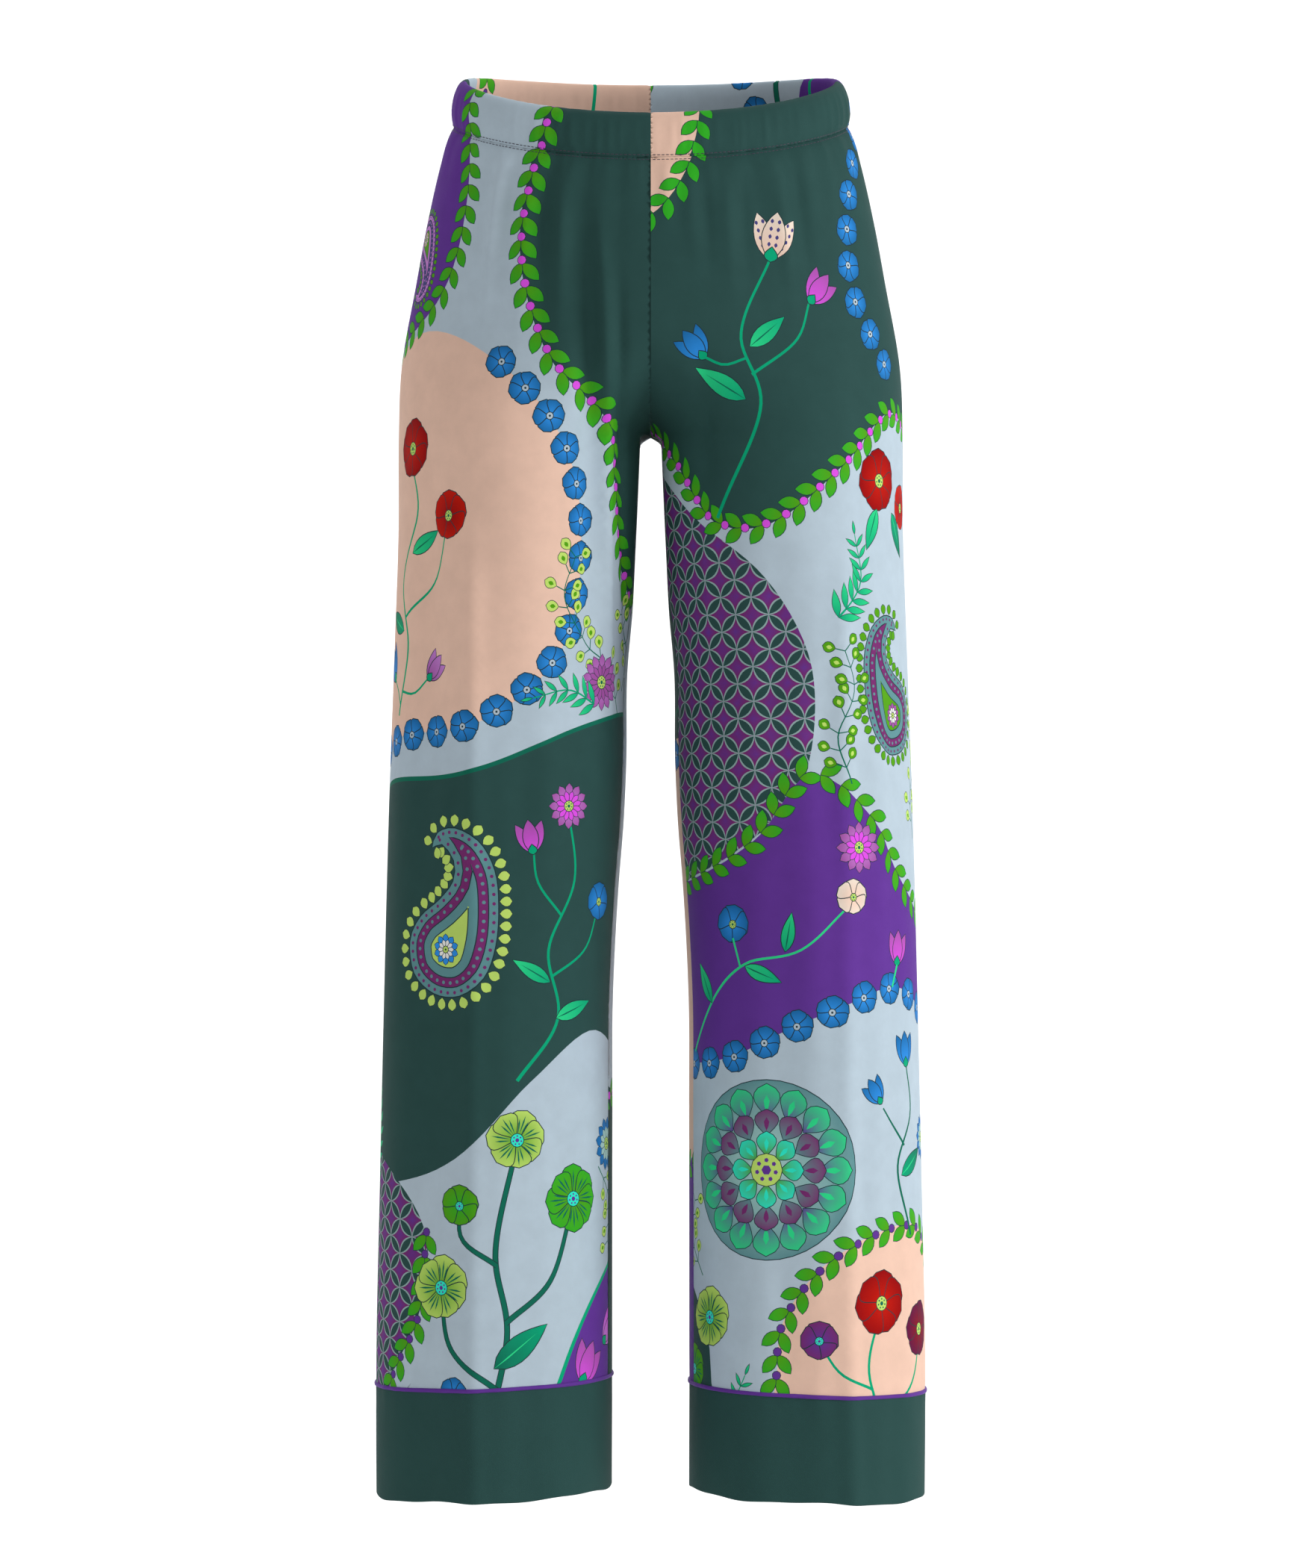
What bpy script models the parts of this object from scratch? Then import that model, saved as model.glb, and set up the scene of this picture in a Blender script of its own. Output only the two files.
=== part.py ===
"""Pyjama pants, filled out as when worn, with an open waist and open hems.

Metres, +Z up. The front faces -Y and the wearer's left side is +X. The origin is the middle of the
waist, level with the top of the waistband at its sides, where the wearer's waist holds the garment up.
"""

import math

import bmesh
import bpy
import numpy as np

MM = 0.001

# Cloth and seams
PANEL_WALL = 1.5 * MM
CUFF_WALL = 2.4 * MM  # the cuff is a doubled band
SEAM_GAP = 0.3 * MM
WAIST_GAP = 0.45 * MM  # between the waistband and the panels, measured straight down
PIPING_RADIUS = 1.5 * MM
PIPING_SUNK = 0.2 * MM  # how far the piping's middle lies inside the panels' outer face

# Heights, measured down from the top of the waistband at the sides
BAND_DOWN = 33.4 * MM
CROTCH_DOWN = 265.0 * MM
FRONT_HOOK = 80.0 * MM  # height of the front crotch curve
BACK_HOOK = 135.0 * MM
PARTING_START, PARTING_END = 1.6, 1.7  # how softly the crotch curve starts and ends
FORK_ROUND = 5.0 * MM  # height of the round top of the gap between the legs
FORK_SPREAD = 150.0 * MM  # how far down the legs take to stand apart all round
FORK_SOFT = 3.0 * MM
LEG_TOP_ROWS_END = 680.0 * MM

# The waistline dips to the front and rises at the back
WAIST_RISE = 21.0 * MM
WAIST_DIP = 13.0 * MM
TILT_FADE = 150.0 * MM

# Each leg's seam with its cuff, its hem, and how much higher both lie at the inner than at the outer side
LEFT, RIGHT = 1, -1
FRONT, BACK = -1, 1
SEAM_DOWN = {LEFT: 964.5 * MM, RIGHT: 959.5 * MM}
HEM_DOWN = {LEFT: 1042.5 * MM, RIGHT: 1041.5 * MM}
CUFF_LIFT = {LEFT: 3.2 * MM, RIGHT: 3.4 * MM}
LIFT_FADE = 200.0 * MM
HEM_WAVES = 5
HEM_WAVE = 0.9 * MM

# The inseam lies a little in front of the innermost line of the leg
INSEAM_FORWARD = 24.0 * MM
INSEAM_FADE = 110.0 * MM

ROUNDNESS = 0.95  # 1 is an ellipse, less is squarer
LOOP_POINTS = 181
SEAM_FLAT = 9.0 * MM  # folds flatten out this near to a seam

# Columns across a panel near the waist and on the leg, round a cuff and a quarter of the waistband
FINE_COLUMNS = 28
LEG_COLUMNS = 14
CUFF_COLUMNS = 40
BAND_COLUMNS = 24
PIPING_SIDES = 6
CUFF_ROWS = 4


def read(table):
    """A table's columns by name, as arrays. Its first row holds the names."""
    names, *rows = table
    return {name: np.array(values, float) for name, values in zip(names, zip(*rows))}


# Level sections in mm: half width at the side seam, and how far the front and the back stand from the
# side seam, which itself lies seam_y behind the origin
SECTIONS = read([
    ("down", "side", "front", "back", "seam_y"),
    (0.0, 146.8, 100.0, 101.0, 0.0),
    (33.8, 145.9, 100.0, 102.0, 0.0),
    (45.0, 150.6, 103.5, 107.0, 0.0),
    (62.0, 155.2, 106.5, 113.0, 0.0),
    (106.0, 165.0, 113.0, 129.0, -1.0),
    (150.0, 173.0, 117.5, 141.0, -2.0),
    (216.0, 184.2, 119.5, 149.0, -2.0),
    (265.0, 186.0, 117.5, 142.0, -2.0),
    (330.0, 186.2, 112.0, 126.0, -1.0),
    (415.0, 189.0, 106.0, 112.0, 0.0),
    (548.0, 193.8, 98.0, 102.0, 2.0),
    (680.0, 197.3, 93.5, 97.0, 4.0),
    (812.0, 200.4, 91.0, 94.0, 6.0),
    (945.0, 203.2, 90.0, 93.0, 8.0),
    (1060.0, 202.8, 90.0, 93.0, 9.0),
])

# Half the gap between the legs, in mm
LEG_GAP = read([
    ("down", "half"),
    (265.0, 7.6),
    (283.0, 8.3),
    (349.0, 11.3),
    (393.0, 13.5),
    (437.0, 17.2),
    (504.0, 18.0),
    (548.0, 20.0),
    (592.0, 23.5),
    (636.0, 26.2),
    (680.0, 28.0),
    (760.0, 28.3),
    (960.0, 28.5),
    (1060.0, 28.5),
])

# Soft gathers under the waistband, in mm: share of the way from the centre seam to the side seam, how
# far down each runs, and how high it stands
GATHERS = {
    (RIGHT, FRONT): read([
        ("share", "reach", "height"),
        (0.060, 60.0, 1.0),
        (0.165, 90.0, 1.5),
        (0.285, 150.0, 2.4),
        (0.410, 165.0, 2.8),
        (0.540, 150.0, 2.5),
        (0.665, 95.0, 1.6),
        (0.775, 70.0, 1.3),
        (0.900, 55.0, 1.0),
    ]),
    (LEFT, FRONT): read([
        ("share", "reach", "height"),
        (0.075, 70.0, 1.2),
        (0.200, 130.0, 2.0),
        (0.310, 105.0, 1.8),
        (0.430, 140.0, 2.3),
        (0.565, 120.0, 2.1),
        (0.680, 85.0, 1.5),
        (0.790, 70.0, 1.3),
        (0.905, 50.0, 1.0),
    ]),
    (RIGHT, BACK): read([
        ("share", "reach", "height"),
        (0.080, 95.0, 1.6),
        (0.190, 120.0, 2.2),
        (0.320, 150.0, 2.5),
        (0.445, 110.0, 2.0),
        (0.560, 135.0, 2.3),
        (0.690, 90.0, 1.6),
        (0.800, 75.0, 1.4),
        (0.910, 50.0, 1.0),
    ]),
    (LEFT, BACK): read([
        ("share", "reach", "height"),
        (0.065, 85.0, 1.5),
        (0.185, 140.0, 2.4),
        (0.300, 115.0, 2.0),
        (0.425, 145.0, 2.5),
        (0.550, 100.0, 1.9),
        (0.660, 110.0, 1.8),
        (0.785, 70.0, 1.3),
        (0.900, 55.0, 1.0),
    ]),
}
GATHER_HALF = 8.0  # mm
BAND_RIPPLE = 0.35  # how much of a gather's height reaches the foot of the waistband

# Long folds, in mm: distance from the centre plane at the fold's top and end, its run down the garment,
# half its width, and its height, where less than 0 is a trough
FOLDS = {
    (RIGHT, FRONT): read([
        ("x_top", "x_end", "top", "end", "half", "height"),
        (42.0, 37.0, 95.0, 470.0, 9.0, -4.0),
        (31.0, 29.0, 105.0, 440.0, 8.0, 2.6),
        (158.0, 163.0, 205.0, 610.0, 17.0, -3.2),
        (96.0, 83.0, 220.0, 600.0, 24.0, 2.4),
        (88.0, 92.0, 480.0, 600.0, 12.0, -1.8),
        (92.0, 126.0, 500.0, 1240.0, 22.0, 4.2),
    ]),
    (LEFT, FRONT): read([
        ("x_top", "x_end", "top", "end", "half", "height"),
        (34.0, 48.0, 180.0, 430.0, 10.0, -2.8),
        (150.0, 160.0, 160.0, 420.0, 16.0, -2.0),
        (122.0, 130.0, 420.0, 620.0, 13.0, -2.8),
        (165.0, 172.0, 430.0, 700.0, 12.0, 1.8),
        (108.0, 127.0, 280.0, 1240.0, 21.0, 4.4),
    ]),
    (RIGHT, BACK): read([
        ("x_top", "x_end", "top", "end", "half", "height"),
        (54.0, 92.0, 235.0, 470.0, 13.0, -3.4),
        (126.0, 108.0, 300.0, 620.0, 20.0, 2.4),
        (150.0, 142.0, 420.0, 800.0, 15.0, -2.2),
        (104.0, 118.0, 560.0, 1240.0, 22.0, 3.4),
    ]),
    (LEFT, BACK): read([
        ("x_top", "x_end", "top", "end", "half", "height"),
        (48.0, 84.0, 240.0, 440.0, 12.0, -3.2),
        (116.0, 104.0, 280.0, 560.0, 20.0, 2.6),
        (148.0, 154.0, 500.0, 860.0, 16.0, -2.4),
        (98.0, 117.0, 600.0, 1240.0, 22.0, 3.6),
    ]),
}
GATHER_RISE = 0.10  # share of its run over which a gather or fold grows to its full height
FOLD_RISE = 0.30

# The waistband's cross-section, in mm: down from its top, and out from the waist's section
BAND_PROFILE = read([
    ("down", "out"),
    (33.4, -1.2),
    (29.0, -0.1),
    (21.0, 0.3),
    (12.0, -1.0),
    (6.0, -3.0),
    (2.2, -5.4),
    (0.0, -8.6),
    (1.6, -11.2),
    (8.0, -11.4),
    (18.0, -9.3),
    (33.4, -5.6),
])

COLOURS = {
    "pale_blue": (0.42, 0.51, 0.60),
    "dark_green": (0.026, 0.073, 0.062),
    "violet": (0.115, 0.022, 0.30),
    "plum": (0.19, 0.027, 0.155),
}


def ease(t):
    """0 to 1 with level ends."""
    t = np.clip(t, 0.0, 1.0)
    return t * t * (3.0 - 2.0 * t)


def smooth(table, name, down):
    """A column's value, in metres, at a height given in metres, on a smooth curve through the rows."""
    places = table["down"] * MM
    values = table[name] * MM
    slopes = np.gradient(values, places)
    down = np.clip(down, places[0], places[-1])
    i = int(np.clip(np.searchsorted(places, down, "right") - 1, 0, len(places) - 2))
    span = places[i + 1] - places[i]
    t = (down - places[i]) / span
    start = (1.0 + 2.0 * t) * (1.0 - t) ** 2 * values[i] + t * (1.0 - t) ** 2 * span * slopes[i]
    end = t * t * (3.0 - 2.0 * t) * values[i + 1] + t * t * (t - 1.0) * span * slopes[i + 1]
    return start + end


def face_curve(down, face):
    """Half of a level section, on one face: x, and distance from the side seam's plane, centre to side.

    Above the crotch the curve ends on the centre plane. From the top of the crotch curve down, the
    body's one oval parts into two, which only touch at the crotch.
    """
    side = smooth(SECTIONS, "side", down)
    depth = smooth(SECTIONS, "front" if face == FRONT else "back", down)
    if down <= CROTCH_DOWN:
        hook = FRONT_HOOK if face == FRONT else BACK_HOOK
        along = float(np.clip((down - CROTCH_DOWN + hook) / hook, 0.0, 1.0))
        parting = 1.0 - (1.0 - along**PARTING_START) ** PARTING_END
        half = side / (1.0 + parting)
        middle = parting * half
    else:
        inner = smooth(LEG_GAP, "half", down) * fork_spread(down)
        half = (side - inner) / 2.0
        middle = (side + inner) / 2.0
    angle = np.linspace(0.0, math.pi, LOOP_POINTS)
    cosine, sine = np.cos(angle), np.sin(angle)
    x = middle + half * np.sign(cosine) * np.abs(cosine) ** ROUNDNESS
    out = depth * np.abs(sine) ** ROUNDNESS
    if down <= CROTCH_DOWN:
        centre_out = np.interp(0.0, x[::-1], out[::-1])
        keep = x > 1e-6
        x = np.append(x[keep], 0.0)
        out = np.append(out[keep], centre_out)
    else:
        x = clear_of_fork(x, down)
    return x[::-1], out[::-1]


def fork_spread(down):
    """How far the whole leg, and not only its inner side, has moved clear of the other, from 0 to 1."""
    return float(ease((down - CROTCH_DOWN) / FORK_SPREAD))


def clear_of_fork(x, down):
    """Flattens the inner side of a leg where it would come nearer to the centre plane than the gap."""
    start = min((down - CROTCH_DOWN) / FORK_ROUND, 1.0)
    opened = math.sqrt(1.0 - (1.0 - start) ** 2)
    gap = smooth(LEG_GAP, "half", down) * opened
    soft = FORK_SOFT * opened * (1.0 - fork_spread(down))
    return (x + gap + np.sqrt((x - gap) ** 2 + soft**2)) / 2.0


def lengths(x, y):
    """Distance along a line of points."""
    return np.concatenate(([0.0], np.cumsum(np.hypot(np.diff(x), np.diff(y)))))


class Section:
    """One level section of one side: from the centre front or inseam, round the side seam, to the back."""

    def __init__(self, down, side):
        self.down, self.side = down, side
        front_x, front_out = face_curve(down, FRONT)
        back_x, back_out = face_curve(down, BACK)
        self.seam_y = smooth(SECTIONS, "seam_y", down)
        self.x = np.concatenate((front_x, back_x[::-1][1:]))
        self.y = self.seam_y + np.concatenate((-front_out, back_out[::-1][1:]))
        self.at = lengths(self.x, self.y)
        self.side_at = self.at[len(front_x) - 1]
        self.total = self.at[-1]
        self.split = len(front_x)
        self.closed = down > CROTCH_DOWN
        shift = ease((down - CROTCH_DOWN) / INSEAM_FADE) * INSEAM_FORWARD if self.closed else 0.0
        self.start, self.end = shift, self.total + shift
        tangent_x = np.gradient(self.x, self.at)
        tangent_y = np.gradient(self.y, self.at)
        self.normal_x, self.normal_y = tangent_y, -tangent_x

    def places(self, columns):
        """Distances of the columns of the front panel and then of the back panel, seams included once."""
        front = np.linspace(self.start, self.side_at, columns + 1)
        back = np.linspace(self.side_at, self.end, columns + 1)
        return np.concatenate((front, back[1:]))

    def look_up(self, values, at):
        """Values at distances along the section, which wraps round on a leg."""
        if self.closed:
            at = np.mod(at, self.total)
        return np.interp(at, self.at, values)

    def fold_height(self, at):
        """How far gathers and folds move the cloth out at these distances."""
        height = np.zeros(len(at))
        for face in (FRONT, BACK):
            if face == FRONT:
                panel = (at >= self.start) & (at <= self.side_at)
                low, high = self.start, self.side_at
                line_x, line_at = self.x[: self.split], self.at[: self.split]
            else:
                panel = (at >= self.side_at) & (at <= self.end)
                low, high = self.side_at, self.end
                line_x, line_at = self.x[self.split - 1 :][::-1], self.at[self.split - 1 :][::-1]
            flat = ease((at - low) / SEAM_FLAT) * ease((high - at) / SEAM_FLAT)
            for x, half, tall in self.folds(face):
                middle = np.interp(x, line_x, line_at)
                bell = np.exp(-(((at - middle) / half) ** 2))
                height += np.where(panel, flat * tall * bell, 0.0)
        return height

    def folds(self, face):
        """Place across, half width and height, in metres, of each fold that this section cuts."""
        found = []
        gathers = GATHERS[self.side, face]
        band_x, band_out = face_curve(BAND_DOWN, face)
        band_at = lengths(band_x, band_out)
        fan = smooth(SECTIONS, "side", self.down) / smooth(SECTIONS, "side", BAND_DOWN)
        for share, reach, tall in zip(gathers["share"], gathers["reach"], gathers["height"]):
            strength = run(self.down, BAND_DOWN, BAND_DOWN + reach * MM, GATHER_RISE)
            if strength:
                x = np.interp(share * band_at[-1], band_at, band_x) * fan
                found.append((x, GATHER_HALF * MM * fan, tall * MM * strength))
        long_folds = FOLDS[self.side, face]
        for x_top, x_end, top, end, half, tall in zip(*long_folds.values()):
            strength = run(self.down, top * MM, end * MM, FOLD_RISE)
            if strength:
                t = (self.down - top * MM) / ((end - top) * MM)
                x = (x_top + (x_end - x_top) * t) * MM
                found.append((x, half * MM, tall * MM * strength))
        return found

    def points(self, at, out=0.0):
        """World points at distances along the section, moved out by a distance, and their z lift."""
        x = self.look_up(self.x, at) + out * self.look_up(self.normal_x, at)
        y = self.look_up(self.y, at) + out * self.look_up(self.normal_y, at)
        z = -self.down + self.tilt(at) + self.lift(x)
        return np.column_stack((self.side * x, y, z))

    def tilt(self, at):
        """The dip of the waistline, fading down the garment."""
        y = self.look_up(self.y, at) - self.seam_y
        front = smooth(SECTIONS, "front", self.down)
        back = smooth(SECTIONS, "back", self.down)
        reach = np.where(y < 0.0, y / front, y / back)
        fade = 1.0 - ease((self.down - BAND_DOWN) / TILT_FADE)
        return fade * (WAIST_RISE * reach - WAIST_DIP * reach**2)

    def lift(self, x):
        """The slope of the cuff seam and hem across a leg."""
        seam = SEAM_DOWN[self.side]
        fade = ease((self.down - seam + LIFT_FADE) / LIFT_FADE)
        outer = smooth(SECTIONS, "side", self.down)
        inner = smooth(LEG_GAP, "half", self.down)
        return fade * CUFF_LIFT[self.side] * (1.0 - 2.0 * (x - inner) / (outer - inner))


def run(down, top, end, rise):
    """Strength of a fold along its run, 0 at its top and its end."""
    t = (down - top) / (end - top)
    if t <= 0.0 or t >= 1.0:
        return 0.0
    return float(ease(t / rise) * ease((1.0 - t) / (1.0 - rise)))


def panel_heights(side):
    """The heights of a leg panel's rows, and how many columns each row has."""
    fine = [BAND_DOWN + WAIST_GAP + below * MM for below in (0, 4, 10, 20, 34, 52, 74, 98, 124)]
    hook = [CROTCH_DOWN - above * MM for above in (88, 66, 46, 28, 14, 4, 0)]
    fork = [CROTCH_DOWN + below * MM for below in (0.8, 2.5, 5, 14, 30, 50, 80, 120, 170, 230, 290, 350)]
    clear = PIPING_RADIUS + SEAM_GAP
    leg = list(np.linspace(LEG_TOP_ROWS_END, SEAM_DOWN[side] - clear, 6))
    rows = [(down, FINE_COLUMNS) for down in fine]
    return rows + [(down, LEG_COLUMNS) for down in hook + fork + leg]


def side_rows(side):
    """The rows of outer points of one side, front and back panel in one."""
    rows = []
    for down, columns in panel_heights(side):
        section = Section(down, side)
        at = section.places(columns)
        rows.append(section.points(at, section.fold_height(at)))
    return rows


def join_rows(upper, lower):
    """Faces between two rows of point numbers, the lower of which may have half as many columns."""
    if len(upper) == len(lower):
        return [
            (upper[i], lower[i], lower[i + 1], upper[i + 1])
            for i in range(len(upper) - 1)
        ]
    faces = []
    for i in range(len(lower) - 1):
        a, b, c = upper[2 * i : 2 * i + 3]
        d, e = lower[i : i + 2]
        faces += [(a, d, b), (b, d, e), (b, e, c)]
    return faces


def number_rows(rows):
    """Numbers for the points of each row, in order."""
    numbers, first = [], 0
    for row in rows:
        numbers.append(list(range(first, first + len(row))))
        first += len(row)
    return numbers


def point_normals(points, faces, twins=()):
    """Outward directions at the points. Twins are pairs of points at one place, which share theirs."""
    normals = np.zeros_like(points)
    for face in faces:
        corners = points[list(face)]
        for i in range(1, len(face) - 1):
            area = np.cross(corners[i] - corners[0], corners[i + 1] - corners[0])
            for corner in (face[0], face[i], face[i + 1]):
                normals[corner] += area
    for one, other in twins:
        both = normals[one] + normals[other]
        normals[one] = both
        normals[other] = both
    return normals


def unit(vectors):
    return vectors / np.linalg.norm(vectors, axis=1)[:, None]


def wall(name, outer, inner, faces, colour):
    """A closed wall between an outer and an inner sheet with the same faces."""
    count = len(outer)
    mesh = bpy.data.meshes.new(name)
    bm = bmesh.new()
    verts = [bm.verts.new(point) for point in np.vstack((outer, inner))]
    uses = {}
    for face in faces:
        bm.faces.new([verts[i] for i in face])
        bm.faces.new([verts[i + count] for i in reversed(face)])
        for a, b in zip(face, face[1:] + face[:1]):
            uses[a, b] = True
    for a, b in uses:
        if (b, a) not in uses:
            bm.faces.new([verts[b], verts[a], verts[a + count], verts[b + count]])
    bmesh.ops.recalc_face_normals(bm, faces=bm.faces)
    bmesh.ops.triangulate(bm, faces=bm.faces)
    bm.to_mesh(mesh)
    bm.free()
    return add_object(name, mesh, colour)


def add_object(name, mesh, colour):
    mesh.shade_smooth()
    mesh.set_sharp_from_angle(angle=math.radians(50))
    mesh.materials.append(cloth_material(colour))
    made = bpy.data.objects.new(name, mesh)
    bpy.context.scene.collection.objects.link(made)
    made.parent = garment
    return made


def cloth_material(colour):
    """A plain satin cloth in one of the named colours."""
    if colour in bpy.data.materials:
        return bpy.data.materials[colour]
    material = bpy.data.materials.new(colour)
    material.use_nodes = True
    shader = material.node_tree.nodes["Principled BSDF"]
    shader.inputs["Base Color"].default_value = (*COLOURS[colour], 1.0)
    shader.inputs["Roughness"].default_value = 0.55
    shader.inputs["Metallic"].default_value = 0.0
    return material


def leg_panels(side, names, colours):
    """The front and the back leg panel of one side."""
    rows = side_rows(side)
    numbers = number_rows(rows)
    points = np.vstack(rows)
    faces = [face for upper, lower in zip(numbers, numbers[1:]) for face in join_rows(upper, lower)]
    if side == RIGHT:
        faces = [face[::-1] for face in faces]
    downs = [down for down, _ in panel_heights(side)]
    twins = [(row[0], row[-1]) for row, down in zip(numbers, downs) if down >= CROTCH_DOWN]
    normals = point_normals(points, faces, twins)
    for row, down in zip(numbers, downs):
        if down <= CROTCH_DOWN:
            normals[[row[0], row[-1]], 0] = 0.0
    for row in (numbers[0], numbers[-1]):
        normals[row, 2] = 0.0
    normals = unit(normals)
    for face, name, colour in zip((FRONT, BACK), names, colours):
        outer = points.copy()
        part_seams(outer, numbers, downs, side, face)
        inner = outer - PANEL_WALL * normals
        chosen = panel_numbers(numbers, face)
        cut_piece(name, outer, inner, chosen, side, colour)


def panel_numbers(numbers, face):
    """The point numbers of the rows of one panel."""
    middle = [len(row) // 2 for row in numbers]
    if face == FRONT:
        return [row[: half + 1] for row, half in zip(numbers, middle)]
    return [row[half:] for row, half in zip(numbers, middle)]


def part_seams(points, numbers, downs, side, face):
    """Moves the edges of one panel back from its seams by half the gap."""
    half = SEAM_GAP / 2.0
    for row, down in zip(numbers, downs):
        inner_edge = row[0] if face == FRONT else row[-1]
        side_edge = row[len(row) // 2]
        points[side_edge, 1] += face * half
        if down <= CROTCH_DOWN:
            points[inner_edge, 0] += side * half
        if down >= CROTCH_DOWN:
            near = row[1] if face == FRONT else row[-2]
            along = points[near] - points[inner_edge]
            points[inner_edge] += along / np.linalg.norm(along) * half


def cut_piece(name, outer, inner, rows, side, colour):
    """The wall of the chosen rows of points."""
    kept = [number for row in rows for number in row]
    numbers = number_rows(rows)
    faces = [face for upper, lower in zip(numbers, numbers[1:]) for face in join_rows(upper, lower)]
    if side == RIGHT:
        faces = [face[::-1] for face in faces]
    return wall(name, outer[kept], inner[kept], faces, colour)


def ring_faces(rows, columns):
    """Faces of a tube of rows that each close on themselves."""
    faces = []
    for i in range(rows - 1):
        for j in range(columns):
            k = (j + 1) % columns
            faces.append((i * columns + j, (i + 1) * columns + j, (i + 1) * columns + k, i * columns + k))
    return faces


def leg_ring(down, side, columns, out=0.0):
    """Points round a leg, folds included, moved out by a distance."""
    section = Section(down, side)
    at = np.linspace(section.start, section.end, columns, endpoint=False)
    return section.points(at, section.fold_height(at) + out)


def cuff(side, name):
    """A doubled band at the foot of a leg, with a slightly uneven hem."""
    top = SEAM_DOWN[side] + PIPING_RADIUS + SEAM_GAP
    heights = np.linspace(top, HEM_DOWN[side], CUFF_ROWS + 1)
    around = np.arange(CUFF_COLUMNS) * 2.0 * math.pi / CUFF_COLUMNS
    outer, inner = [], []
    for down in heights:
        droop = ease((down - top) / (heights[-1] - top)) * HEM_WAVE * np.sin(HEM_WAVES * around + side)
        for rings, out in ((outer, 0.0), (inner, -CUFF_WALL)):
            ring = leg_ring(down, side, CUFF_COLUMNS, out)
            ring[:, 2] += droop
            rings.append(ring)
    faces = ring_faces(len(heights), CUFF_COLUMNS)
    if side == RIGHT:
        faces = [face[::-1] for face in faces]
    return wall(name, np.vstack(outer), np.vstack(inner), faces, "dark_green")


def piping(side, name):
    """The round cord edge that stands proud between a leg and its cuff."""
    down = SEAM_DOWN[side]
    rings = []
    for angle in (np.arange(PIPING_SIDES) + 0.5) * 2.0 * math.pi / PIPING_SIDES:
        out = -PIPING_SUNK + PIPING_RADIUS * math.cos(angle)
        ring = leg_ring(down, side, CUFF_COLUMNS, out)
        ring[:, 2] += PIPING_RADIUS * math.sin(angle)
        rings.append(ring)
    return closed_tube(name, rings, "violet")


def closed_tube(name, rings, colour):
    """A ring-shaped body whose cross-section runs through the rings in turn."""
    columns = len(rings[0])
    mesh = bpy.data.meshes.new(name)
    bm = bmesh.new()
    verts = [bm.verts.new(point) for ring in rings for point in ring]
    for face in ring_faces(len(rings) + 1, columns):
        bm.faces.new([verts[i % len(verts)] for i in face])
    bmesh.ops.recalc_face_normals(bm, faces=bm.faces)
    bmesh.ops.triangulate(bm, faces=bm.faces)
    bm.to_mesh(mesh)
    bm.free()
    return add_object(name, mesh, colour)


def waistband(name):
    """The puffed casing of the elastic, a ring with a round top that leans in."""
    rings = []
    for down, out in zip(BAND_PROFILE["down"] * MM, BAND_PROFILE["out"] * MM):
        halves = []
        for side in (LEFT, RIGHT):
            section = Section(0.0, side)
            at = section.places(BAND_COLUMNS)
            below = Section(BAND_DOWN + 20.0 * MM, side)
            ripple = BAND_RIPPLE * below.fold_height(below.places(BAND_COLUMNS)) * ease(down / BAND_DOWN)
            half = section.points(at, out + ripple)
            half[:, 2] -= down
            half[0, 0] = 0.0
            half[-1, 0] = 0.0
            halves.append(half)
        left, right = halves
        rings.append(np.vstack((left[:-1], right[:0:-1])))
    return closed_tube(name, rings, "plum")


for old in list(bpy.data.objects):
    bpy.data.objects.remove(old, do_unlink=True)
garment = bpy.data.objects.new("garment", None)
bpy.context.scene.collection.objects.link(garment)

waistband("waistband")
leg_panels(LEFT, ("front_left", "back_left"), ("pale_blue", "dark_green"))
leg_panels(RIGHT, ("front_right", "back_right"), ("dark_green", "pale_blue"))
cuff(LEFT, "cuff_left")
cuff(RIGHT, "cuff_right")
piping(LEFT, "piping_left")
piping(RIGHT, "piping_right")
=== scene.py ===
"""Printed pyjama pants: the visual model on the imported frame, in metres, +Z up, front towards -Y."""

import math

import bpy
import numpy as np
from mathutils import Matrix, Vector
from mathutils.geometry import delaunay_2d_cdt


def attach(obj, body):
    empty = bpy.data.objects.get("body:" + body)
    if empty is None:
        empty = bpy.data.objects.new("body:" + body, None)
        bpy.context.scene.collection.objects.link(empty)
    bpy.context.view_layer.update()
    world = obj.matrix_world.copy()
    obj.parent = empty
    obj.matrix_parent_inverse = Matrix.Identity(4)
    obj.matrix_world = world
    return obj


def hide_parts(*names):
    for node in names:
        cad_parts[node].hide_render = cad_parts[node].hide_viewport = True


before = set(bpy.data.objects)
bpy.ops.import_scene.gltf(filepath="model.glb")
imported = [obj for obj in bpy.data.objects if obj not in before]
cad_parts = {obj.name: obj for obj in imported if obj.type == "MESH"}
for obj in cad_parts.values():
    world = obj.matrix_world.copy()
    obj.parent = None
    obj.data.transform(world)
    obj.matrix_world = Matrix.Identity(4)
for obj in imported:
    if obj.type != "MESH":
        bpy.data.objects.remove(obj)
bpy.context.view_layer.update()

MM = 0.001

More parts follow.
